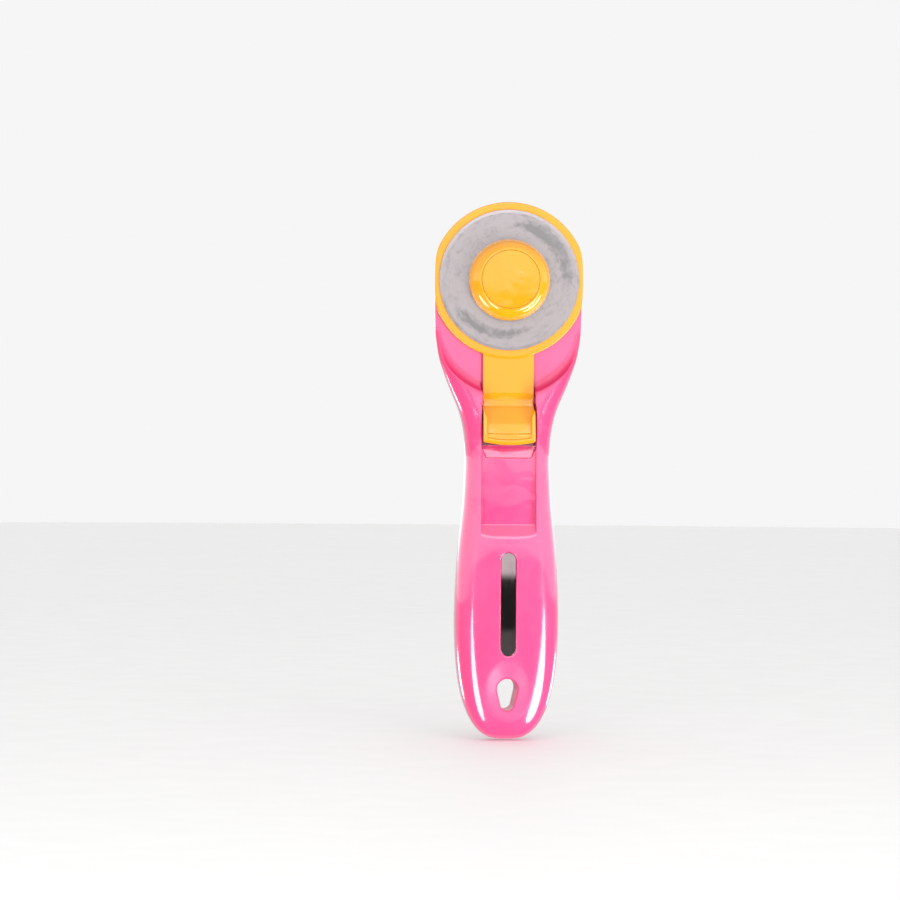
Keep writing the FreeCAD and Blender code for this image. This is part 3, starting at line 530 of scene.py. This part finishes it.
def guard_field(x, y, z):
    """Guard disc, its strap, the scooped thumb pad and the two snap legs."""
    side = np.abs(x)
    disc = both(np.hypot(x, z) - GUARD_RADIUS, side - GUARD_HALF_WIDTH, 1.2)
    disc = both(both(disc, GUARD_FRONT - y, 0.55), y - GUARD_BACK, 0.2)
    strap = both(side - STRAP_HALF_WIDTH, between(z, STRAP_END, -20.0))
    strap = both(strap, between(y, 0.68, GUARD_BACK), 0.2)
    solid = either(disc, strap, 0.25)
    arch = 1 - (x / STRAP_HALF_WIDTH) ** 2
    top = -36.65 + 0.45 * arch
    fall = np.clip((top - z) / (top + 37.75 + 0.35 * arch), 0, 1)
    slant = 0.95 * (y - 0.68 - 0.5 * fall)
    solid = without(solid, both(both(slant, z - top), -38.4 - z), 0.12)
    sag = np.clip((-48.2 - z) / 2.5, 0, 1)
    level = z - x * x / 72.0 * sag * sag * (3 - 2 * sag)
    pad = both(inside_outline(THUMB_SIDE, y, level), side - THUMB_HALF_WIDTH, 0.45)
    solid = either(solid, pad, 0.15)
    flare = 1.5 * np.clip((z + 44.2) / 3.8, 0, 1)
    scoop = both(inside_outline(SCOOP_SIDE, y, level), side - 7.05 - flare, 0.5)
    solid = without(solid, scoop, 0.5)
    slot = np.hypot(x, z - np.clip(z, 0.0, 9.0)) - 6.6
    solid = without(solid, slot, 0.15)
    leg = both(both(between(side, 2.4, 3.6), between(y, 1.2, 5.2)), between(z, -43.5, -39.5), 0.2)
    hook = both(both(between(side, 2.4, 4.7), between(y, 3.85, 5.2), 0.3), between(z, -43.5, -39.5))
    return np.minimum(solid, np.minimum(leg, hook))


# --- release slider ------------------------------------------------------------------------------------


def slider_top():
    """Side outline of the slider: skirt, curved top and thumb ridge."""
    top = SPINE_BACK - 0.2
    levels = np.linspace(5.0, SPINE_BEND_LEVEL, 12)
    curve = [(float(spine_top(z, 0.2)), float(z), 0.0) for z in levels]
    curve[0] = curve[0][:2] + (0.5,)
    return rounded(
        [(8.2, -22.5, 0.2), (8.2, 5.0, 0.2)]
        + curve
        + [
            (top, -15.5, 1.2),
            (top + 1.4, -17.3, 0.7),
            (top + 1.4, -20.9, 0.7),
            (top - 0.3, -22.5, 0.3),
        ]
    )


SLIDER_SIDE = slider_top()


def slider_field(x, y, z):
    """Hollow slide with a grooved thumb ridge, side tongues and the wedge inside."""
    side = np.abs(x)
    solid = both(inside_outline(SLIDER_SIDE, y, z), side - 5.7, 0.55)
    tongues = both(both(side - 6.58, between(y, 8.62, 9.58), 0.15), between(z, -20.0, 3.0), 0.2)
    solid = np.minimum(solid, tongues)
    room = both(both(side - 4.6, y - 9.7, 0.3), -21.4 - z, 0.3)
    solid = without(solid, room, 0.1)
    for level in (-18.0, -19.1, -20.2):
        notch = np.hypot(y - 14.9, z - level) - 0.55
        solid = without(solid, both(notch, side - 4.4), 0.12)
    wedge = both(both(side - 2.2, between(y, 6.6, 10.2), 0.1), between(z, -9.1, -6.9), 0.1)
    return np.minimum(solid, wedge)


# --- turned pieces ---------------------------------------------------------------------------------------


def turned(name, corners, segments=192):
    """A ring or disc about the Y axis from its closed half section of (radius, y, round) corners."""
    points = rounded(corners)
    ahead = np.roll(points, -1, axis=0) - points
    keep = np.linalg.norm(ahead, axis=1) > 1e-6
    points = points[keep]
    ahead = np.roll(points, -1, axis=0) - points
    steps = ahead / np.linalg.norm(ahead, axis=1)[:, None]
    following = np.roll(points, -1, axis=0)
    area = float(np.sum(points[:, 0] * following[:, 1] - following[:, 0] * points[:, 1]))
    out = np.stack([steps[:, 1], -steps[:, 0]], 1) * math.copysign(1, area)
    lengths = np.linalg.norm(ahead, axis=1)
    weight_back = np.roll(lengths, 1)
    blend = out * lengths[:, None] + np.roll(out, 1, axis=0) * weight_back[:, None]
    normals = blend / np.linalg.norm(blend, axis=1)[:, None]
    angles = np.linspace(0, 2 * math.pi, segments, endpoint=False)
    vertices, directions, rings = [], [], []
    for (radius, depth), (rn, yn) in zip(points, normals):
        if radius < 1e-6:
            rings.append([len(vertices)])
            vertices.append((0.0, depth, 0.0))
            directions.append((0.0, yn, 0.0))
            continue
        rings.append(list(range(len(vertices), len(vertices) + segments)))
        for a in angles:
            vertices.append((radius * math.cos(a), depth, radius * math.sin(a)))
            directions.append((rn * math.cos(a), yn, rn * math.sin(a)))
    faces = []
    for here, there in zip(rings, rings[1:] + rings[:1]):
        if len(here) == 1 and len(there) == 1:
            continue
        for k in range(segments):
            after = (k + 1) % segments
            if len(here) == 1:
                faces.append((here[0], there[k], there[after]))
            elif len(there) == 1:
                faces.append((here[k], there[0], here[after]))
            else:
                faces.append((here[k], there[k], there[after], here[after]))
    if area < 0:
        faces = [f[::-1] for f in faces]
    return mesh_object(name, vertices, faces, np.array(directions))


# --- finishes ------------------------------------------------------------------------------------------


class Nodes:
    """A node tree under construction."""

    def __init__(self, tree):
        self.tree = tree

    def add(self, kind, inputs=None, **settings):
        node = self.tree.nodes.new(kind)
        for key, value in settings.items():
            setattr(node, key, value)
        for key, value in (inputs or {}).items():
            self.feed(node.inputs[key], value)
        return node

    def feed(self, socket, value):
        if isinstance(value, bpy.types.NodeSocket):
            self.tree.links.new(value, socket)
        else:
            socket.default_value = value

    def span(self, value, low, high, to_low, to_high):
        """A value between two limits, mapped smoothly to two others."""
        made = self.add(
            "ShaderNodeMapRange",
            {
                "Value": value,
                "From Min": low,
                "From Max": high,
                "To Min": to_low,
                "To Max": to_high,
            },
            interpolation_type="SMOOTHSTEP",
        )
        return made.outputs["Result"]

    def calc(self, first, second, operation="ADD"):
        made = self.add("ShaderNodeMath", operation=operation)
        self.feed(made.inputs[0], first)
        self.feed(made.inputs[1], second)
        return made.outputs["Value"]


class Finish(Nodes):
    """A material under construction: its node tree and its one shader."""

    def __init__(self, name):
        self.material = bpy.data.materials.new(name)
        self.material.use_nodes = True
        super().__init__(self.material.node_tree)
        self.shader = self.tree.nodes["Principled BSDF"]
        self.place = self.add("ShaderNodeTexCoord").outputs["Object"]

    def set(self, **values):
        for key, value in values.items():
            self.feed(self.shader.inputs[key.replace("_", " ")], value)

    def from_axis(self, level):
        """X, Z and the distance from the Y axis moved to a level."""
        axes = self.add("ShaderNodeSeparateXYZ", {"Vector": self.place}).outputs
        across, up = axes["X"], axes["Z"]
        down = self.calc(up, level, "SUBTRACT")
        squares = self.calc(
            self.calc(across, across, "MULTIPLY"), self.calc(down, down, "MULTIPLY")
        )
        return across, up, self.calc(squares, 0.5, "POWER")

    def noise(self, scale, detail=3.0, stretch=(1, 1, 1), roughness=0.5, warp=0.0):
        """Noise in object space; the scale counts features per metre."""
        mapping = self.add("ShaderNodeMapping", {"Vector": self.place, "Scale": stretch})
        made = self.add(
            "ShaderNodeTexNoise",
            {
                "Vector": mapping.outputs["Vector"],
                "Scale": scale,
                "Detail": detail,
                "Roughness": roughness,
                "Distortion": warp,
            },
        )
        return made.outputs["Fac"]

    def zone(self, middle, reach):
        """One inside a rounded zone of the object's space, fading to nothing at its edge."""
        mapping = self.add(
            "ShaderNodeMapping",
            {
                "Vector": self.place,
                "Scale": tuple(1 / r for r in reach),
                "Location": tuple(-m / r for m, r in zip(middle, reach)),
            },
        )
        away = self.add("ShaderNodeVectorMath", operation="LENGTH")
        self.feed(away.inputs[0], mapping.outputs["Vector"])
        return self.span(away.outputs["Value"], 0.75, 1.1, 1.0, 0.0)

    def band(self, level, radius, half_width, top):
        """One along an arc below a level, at a radius from a centre on the middle plane; it marks where
        shade is painted.
        """
        _, up, away = self.from_axis(level)
        off = self.calc(away, radius, "SUBTRACT")
        near = self.span(self.calc(off, off, "MULTIPLY"), 0.0, half_width**2, 1.0, 0.0)
        low = self.span(up, top - 0.004, top, 1.0, 0.0)
        return self.calc(near, low, "MULTIPLY")

    def mix(self, factor, first, second):
        made = self.add("ShaderNodeMix", data_type="RGBA")
        self.feed(made.inputs[0], factor)
        self.feed(made.inputs[6], first)
        self.feed(made.inputs[7], second)
        return made.outputs[2]

    def bump(self, height, distance, strength=1.0, after=None):
        made = self.add(
            "ShaderNodeBump", {"Height": height, "Distance": distance, "Strength": strength}
        )
        if after is not None:
            self.feed(made.inputs["Normal"], after)
        return made.outputs["Normal"]


def linear(red, green, blue):
    """A colour from display values of 0 to 255."""
    channels = [c / 255 for c in (red, green, blue)]
    return tuple(
        c / 12.92 if c <= 0.04045 else ((c + 0.055) / 1.055) ** 2.4 for c in channels
    ) + (1.0,)


def glossy_plastic(name, tones, coat, satin, wavy, band):
    """Moulded plastic: colour flow, fine grain, a satin zone, a wavy zone and a band of painted shade."""
    look = Finish(name)
    flow = look.noise(38.0, 4.0, stretch=(1, 1, 0.35), warp=0.6)
    main, deep, painted_shade_tone = tones
    tone = look.mix(look.span(flow, 0.3, 0.7, 0.0, 1.0), main, deep)
    # painted shade: the darkest tone is laid along the band's arc where shade falls, broken up by the colour
    # flow; the same band also loses most of its coat
    shade = look.calc(look.band(*band), look.span(flow, 0.38, 0.55, 0.35, 1.0), "MULTIPLY")
    look.set(Base_Color=look.mix(shade, tone, painted_shade_tone))
    scuffs = look.span(look.noise(260.0, 6.0, roughness=0.7), 0.35, 0.75, 0.13, 0.22)
    dull = look.calc(look.zone(*satin), shade, "MAXIMUM")
    look.set(Roughness=look.calc(scuffs, look.calc(dull, 0.3, "MULTIPLY")))
    look.set(Coat_Weight=look.span(dull, 0.0, 1.0, coat, coat * 0.1), Coat_Roughness=0.05)
    waves = look.noise(75.0, 2.0, warp=0.4)
    grain = look.noise(2600.0, 2.0)
    smooth = look.bump(waves, 0.0012, look.span(look.zone(*wavy), 0.0, 1.0, 0.04, 0.8))
    look.set(Normal=look.bump(grain, 0.000012, 0.25, after=smooth))
    look.set(Subsurface_Weight=0.12, Subsurface_Radius=(1.0, 0.5, 0.4), Subsurface_Scale=0.0012)
    look.set(Coat_IOR=1.55, IOR=1.55)
    return look.material


# oil smears on the blade: middle angle and reach in degrees, radius, half width and weight
SMEARS = (
    (36.0, 38.0, 0.0186, 0.0021, 0.19),
    (64.0, 20.0, 0.0178, 0.0011, 0.15),
    (-112.0, 32.0, 0.0176, 0.0015, 0.17),
    (-132.0, 16.0, 0.0188, 0.0012, 0.13),
    (-82.0, 18.0, 0.0166, 0.0010, 0.12),
)


def blade_steel():
    """Ground carbide steel under a film of oil: circular grinding and cloudy darker smears."""
    look = Finish("blade_steel_finish")
    across, up, radius = look.from_axis(0.0)
    rings = look.add(
        "ShaderNodeTexNoise",
        {"W": look.calc(radius, 9000.0, "MULTIPLY"), "Detail": 3.0},
        noise_dimensions="1D",
    )
    turn = look.calc(up, across, "ARCTAN2")
    polar = look.add(
        "ShaderNodeCombineXYZ",
        {"X": look.calc(turn, 0.3, "MULTIPLY"), "Y": look.calc(radius, 30.0, "MULTIPLY")},
    )
    brushed = look.add(
        "ShaderNodeTexNoise",
        {
            "Vector": polar.outputs["Vector"],
            "Scale": 26.0,
            "Detail": 7.0,
            "Roughness": 0.66,
            "Distortion": 0.5,
        },
    ).outputs["Fac"]
    cloud = look.noise(130.0, 6.0, roughness=0.65, warp=1.2)
    mottle = look.calc(look.calc(brushed, 0.6, "MULTIPLY"), look.calc(cloud, 0.4, "MULTIPLY"))

    def smear(middle, reach, at, half_width, weight):
        """Where oil was wiped along an arc: within an angle and a band of radius."""
        aside = look.calc(turn, math.radians(middle), "SUBTRACT")
        along = look.calc(aside, math.radians(reach), "DIVIDE")
        outward = look.calc(look.calc(radius, at, "SUBTRACT"), half_width, "DIVIDE")
        square = look.calc(
            look.calc(along, along, "MULTIPLY"), look.calc(outward, outward, "MULTIPLY")
        )
        return look.span(square, 0.2, 1.9, weight, 0.0)

    smears = smear(*SMEARS[0])
    for spot in SMEARS[1:]:
        smears = look.calc(smears, smear(*spot))
    dark = look.span(look.calc(mottle, smears), 0.46, 0.74, 0.0, 1.0)
    base = look.mix(dark, linear(157, 150, 152), linear(127, 124, 125))
    look.set(Base_Color=base, Metallic=0.7)
    look.set(Roughness=look.span(look.calc(dark, rings.outputs["Fac"]), 0.2, 1.6, 0.4, 0.28))
    fine = look.bump(rings.outputs["Fac"], 0.000004, 0.3)
    look.set(Normal=look.bump(dark, 0.00001, 0.3, after=fine))
    return look.material


def wire_steel(name, tone, rough):
    """Drawn spring steel with fine lengthwise lines."""
    look = Finish(name)
    lines = look.noise(2200.0, 3.0, stretch=(1, 1, 0.06))
    stain = look.noise(180.0, 4.0)
    shade = tuple(c * 0.72 for c in tone[:3]) + (1.0,)
    look.set(Base_Color=look.mix(look.span(stain, 0.35, 0.7, 0.0, 1.0), tone, shade), Metallic=1.0)
    look.set(Roughness=look.span(lines, 0.3, 0.7, rough, rough + 0.14))
    look.set(Normal=look.bump(lines, 0.000006, 0.3))
    return look.material


def mirror_metal():
    """Dark bright plating, with faint hairlines and a thin haze."""
    look = Finish("mirror_metal")
    hairs = look.noise(5200.0, 2.0, stretch=(1, 1, 0.02))
    haze = look.noise(240.0, 4.0)
    cloud = look.span(haze, 0.3, 0.7, 0.0, 1.0)
    look.set(Base_Color=look.mix(cloud, linear(155, 139, 141), linear(146, 131, 134)))
    look.set(Metallic=1.0, Roughness=look.span(hairs, 0.4, 0.75, 0.01, 0.03))
    look.set(Normal=look.bump(hairs, 0.0000004, 0.1))
    return look.material


def floor_paint():
    look = Finish("pale_floor")
    mottle = look.noise(9.0, 3.0)
    look.set(Base_Color=look.mix(mottle, (0.655, 0.655, 0.65, 1), (0.67, 0.67, 0.665, 1)))
    look.set(Roughness=look.span(look.noise(60.0, 4.0), 0.3, 0.7, 0.6, 0.75))
    return look.material


# --- pieces ----------------------------------------------------------------------------------------------


def fit(piece, node, body, material):
    """Put a new piece in place of a CAD node, on its body and with its finish."""
    piece.data.materials.append(material)
    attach(piece, body)
    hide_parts(node)
    return piece


def dress(node, material):
    """Give a CAD node that stays its finish."""
    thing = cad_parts[node]
    thing.data.materials.clear()
    thing.data.materials.append(material)


# main and deep tone of each plastic, and the darker tone that is painted as shade in the bands
MAGENTA_TONES = linear(205, 66, 118), linear(202, 59, 112), linear(196, 38, 92)
YELLOW_TONES = linear(206, 139, 0), linear(204, 133, 0), linear(202, 124, 0)
# zones as a middle and a reach in metres: satin dish and thumb pad, wavy neck and cap
DISH_ZONE = (0.0, -0.005, -0.1315), (0.0080, 0.1, 0.0108)
NECK_ZONE = (0.0, -0.005, -0.058), (0.0165, 0.008, 0.034)
PAD_ZONE = (0.0, -0.002, -0.0436), (0.0082, 0.1, 0.0066)
CAP_ZONE = (0.0, -0.006, -0.004), (0.012, 0.01, 0.009)
# bands of painted shade in the darker tone, along the pocket's wall round the guard and along the top of the
# thumb scoop, as centre level, radius, half width and upper limit in metres
POCKET_PAINTED_SHADE = -0.0122, 0.0243, 0.0026, -0.014
PAD_PAINTED_SHADE = -0.030, 0.0095, 0.0014, -0.0385

magenta = glossy_plastic(
    "magenta_plastic_finish", MAGENTA_TONES, 1.0, DISH_ZONE, NECK_ZONE, POCKET_PAINTED_SHADE
)
yellow = glossy_plastic("yellow_plastic_finish", YELLOW_TONES, 0.3, PAD_ZONE, CAP_ZONE, PAD_PAINTED_SHADE)
steel = blade_steel()
spring = wire_steel("spring_steel_finish", linear(188, 186, 182), 0.24)
plated = wire_steel("pin_plating", linear(205, 203, 200), 0.18)
mirror = mirror_metal()

handle = moulded(
    "handle_moulding", handle_body_field, (-24, -5.2, TAIL_TIP), (24, 13.6, HEAD_TIP), 0.46
)
cover = moulded("cover_moulding", back_cover_field, (-17, 6.4, TAIL_TIP), (17, 13.2, -53.8), 0.4)
guard = moulded("guard_moulding", guard_field, (-24, -5.3, -53.2), (24, 5.3, 25.2), 0.27)
slider = moulded("slider_moulding", slider_field, (-6.7, 6.5, -22.6), (6.7, 14.6, 5.1), 0.21)
blade = turned(
    "blade_ground",
    [
        (4.0, -0.15, 0.03),
        (21.6, -0.15, 0.02),
        (22.5, -0.03, 0.01),
        (22.5, 0.03, 0.01),
        (21.6, 0.15, 0.02),
        (4.0, 0.15, 0.03),
    ],
    360,
)
cap = turned(
    "cap_moulding",
    [
        (0.0, -4.6),
        (9.36, -4.6, 0.1),
        (9.36, -6.0, 0.1),
        (9.9, -5.97, 0.3),
    ]
    + along_arc((9.95, -5.95), (12.7, -1.9), 5.2, 18)[1:]
    + [
        (12.72, -1.15, 0.1),
        (12.99, -1.1, 0.12),
        (12.99, -0.5, 0.25),
        (3.95, -0.5, 0.05),
        (3.95, -3.4, 0.05),
        (0.0, -3.4),
    ],
    240,
)
badge = moulded("badge_plate", badge_field, (-2.5, -4.8, -120.4), (2.5, -3.6, -87.1), 0.16)
disc = turned(
    "cap_disc_moulding",
    [(0.0, -6.2)]
    + [(r, -6.2 + 0.24 * (r / 9.3) ** 2, 0.0) for r in (1.5, 3.0, 4.5, 6.0, 7.5, 8.6)]
    + [(9.26, -5.96, 0.14), (9.26, -4.62, 0.05), (0.0, -4.62)],
    240,
)

fit(handle, "handle_body", "handle", magenta)
fit(cover, "back_cover", "handle", magenta)
fit(guard, "blade_guard", "guard", yellow)
fit(slider, "release_slider", "slider", magenta)
fit(blade, "rotary_blade", "blade", steel)
fit(cap, "pin_cap", "pin", yellow)
fit(disc, "cap_disc", "pin", yellow)
fit(badge, "badge_strip", "handle", mirror)
dress("blade_washer", plated)
dress("pin_shaft", plated)
dress("guard_spring", spring)
dress("latch_spring", spring)


# --- studio ------------------------------------------------------------------------------------------------

# brightness of the sky, of the haze above its edge, of the space behind, of the lowest part in
# front and of the dark band below the edge; heights as the sine of the angle above the horizon
SKY_GLOW = 1.4
HAZE_GLOW = 2.1
BACK_GLOW = 0.8
LOW_GLOW = 0.3
DARK_GLOW = 0.06
SKY_EDGE = -0.009
EDGE_BLUR = 0.0015
BACKDROP = (0.92, 0.92, 0.92, 1)


def make_floor():
    """A wide round sheet just under the tail, its far edge rounded down."""
    level = CAD_BOUNDS[0].z / MM - 0.2
    rings = [(r, 0.0) for r in (0, 300, 900, 2400, 3200)] + [(3215, -4.0), (3220, -15.0)]
    count = 96
    vertices = [(0.0, 0.0, level)]
    for radius, drop in rings[1:]:
        for k in range(count):
            angle = 2 * math.pi * k / count
            vertices.append((radius * math.cos(angle), radius * math.sin(angle), level + drop))
    faces = [(0, 1 + k, 1 + (k + 1) % count) for k in range(count)]
    for ring in range(len(rings) - 2):
        here, there = 1 + ring * count, 1 + (ring + 1) * count
        for k in range(count):
            after = (k + 1) % count
            faces.append((here + k, there + k, there + after, here + after))
    sheet = mesh_object("floor", vertices, faces, np.tile((0.0, 0.0, 1.0), (len(vertices), 1)))
    sheet.data.materials.append(floor_paint())
    sheet.visible_glossy = False
    sheet.visible_shadow = False
    return sheet


def towards(azimuth, rise):
    """A direction from the object: azimuth in degrees from its front (-Y) towards +X."""
    a, e = math.radians(azimuth), math.radians(rise)
    return Vector((math.sin(a) * math.cos(e), -math.cos(a) * math.cos(e), math.sin(e)))


def panel(name, azimuths, rises, radiance, middle, distance=1.0, only=()):
    """A soft oval light that fills a range of directions round a point, for all or some pieces."""
    azimuth = sum(azimuths) / 2
    rise = sum(rises) / 2
    light = bpy.data.lights.new(name, "AREA")
    light.shape = "ELLIPSE"
    wide = math.radians(azimuths[1] - azimuths[0]) / 2
    tall = math.radians(rises[1] - rises[0]) / 2
    light.size = 2 * distance * math.tan(wide) * math.cos(math.radians(rise))
    light.size_y = 2 * distance * math.tan(tall)
    light.energy = radiance * math.pi * (math.pi / 4 * light.size * light.size_y)
    holder = bpy.data.objects.new(name, light)
    bpy.context.scene.collection.objects.link(holder)
    away = towards(azimuth, rise)
    holder.location = Vector(middle) + away * distance
    holder.rotation_mode = "QUATERNION"
    holder.rotation_quaternion = (-away).to_track_quat("-Z", "Y")
    holder.visible_camera = False
    if only:
        lit = bpy.data.collections.new(name + "_lights")
        for piece in only:
            lit.objects.link(piece)
        holder.light_linking.receiver_collection = lit


def studio_sky():
    """Pale surroundings: bright above, black below and in front, plain to the camera itself."""
    world = bpy.data.worlds.new("studio")
    bpy.context.scene.world = world
    world.use_nodes = True
    world.node_tree.nodes.clear()
    sky = Nodes(world.node_tree)
    coords = sky.add("ShaderNodeTexCoord").outputs["Generated"]
    axes = sky.add("ShaderNodeSeparateXYZ", {"Vector": coords}).outputs
    height = axes["Z"]
    edge = sky.span(height, SKY_EDGE - EDGE_BLUR, SKY_EDGE + EDGE_BLUR, DARK_GLOW, HAZE_GLOW)
    above = sky.calc(edge, sky.span(height, 0.12, 0.4, HAZE_GLOW, SKY_GLOW), "MINIMUM")
    behind = sky.span(axes["Y"], 0.0, 0.25, 0.0, BACK_GLOW)
    low_glow = sky.span(height, -0.026, -0.0235, LOW_GLOW, 0.0)
    strength = sky.calc(sky.calc(above, behind, "MAXIMUM"), low_glow, "MAXIMUM")
    around = sky.add("ShaderNodeBackground", {"Strength": strength})
    plain = sky.add("ShaderNodeBackground", {"Color": BACKDROP})
    seen = sky.add("ShaderNodeLightPath")
    pick = sky.add("ShaderNodeMixShader", {0: seen.outputs["Is Camera Ray"]})
    sky.feed(pick.inputs[1], around.outputs[0])
    sky.feed(pick.inputs[2], plain.outputs[0])
    sky.add("ShaderNodeOutputWorld", {"Surface": pick.outputs[0]})


CAMERA_AIM = (-0.0187, 0.0, -0.0546)
CAMERA_DISTANCE = 1.1
CAMERA_TURN = math.radians(4.3)
CAMERA_LEAN = math.radians(0.4)


def make_camera():
    """The photograph's angle: level, a little to the left, and leaning slightly."""
    turn = CAMERA_TURN
    aim = Vector(CAMERA_AIM)
    away = Vector((-math.sin(turn), -math.cos(turn), 0.0))
    eye = bpy.data.cameras.new("camera")
    eye.lens = 137.5
    eye.sensor_width = 36.0
    holder = bpy.data.objects.new("camera", eye)
    bpy.context.scene.collection.objects.link(holder)
    holder.location = aim + away * CAMERA_DISTANCE
    holder.rotation_mode = "QUATERNION"
    lean = Matrix.Rotation(CAMERA_LEAN, 3, away).to_quaternion()
    holder.rotation_quaternion = lean @ (-away).to_track_quat("-Z", "Y")
    bpy.context.scene.camera = holder


sheet = make_floor()
studio_sky()
GRIP_MIDDLE = (0.0, 0.0, -0.1)
NECK_MIDDLE = (0.0, 0.0, -0.037)
HEAD_MIDDLE = (0.0, 0.0, -0.003)
made = [piece for piece in bpy.context.scene.objects if piece.type == "MESH" and piece != sheet]
head = (cap, disc, blade)
panel("front_top", (-34.0, 34.0), (18.0, 50.0), 2.2, GRIP_MIDDLE)
panel("left_strip", (-42.0, -25.0), (-52.0, -2.2), 10.0, GRIP_MIDDLE, only=made)
panel("right_strip", (29.0, 58.0), (-52.0, -2.2), 10.0, GRIP_MIDDLE, only=made)
panel("left_neck", (-136.0, -118.0), (-29.0, -15.0), 9.0, NECK_MIDDLE, 0.5, made)
panel("right_neck", (118.0, 136.0), (-29.0, -15.0), 9.0, NECK_MIDDLE, 0.5, made)
panel("left_cap", (-98.0, -74.0), (-54.0, -25.0), 10.0, HEAD_MIDDLE, 0.6, head)
panel("right_cap", (72.0, 98.0), (-62.0, -22.0), 10.0, HEAD_MIDDLE, 0.6, head)
make_camera()
bpy.context.scene.view_settings.view_transform = "Standard"
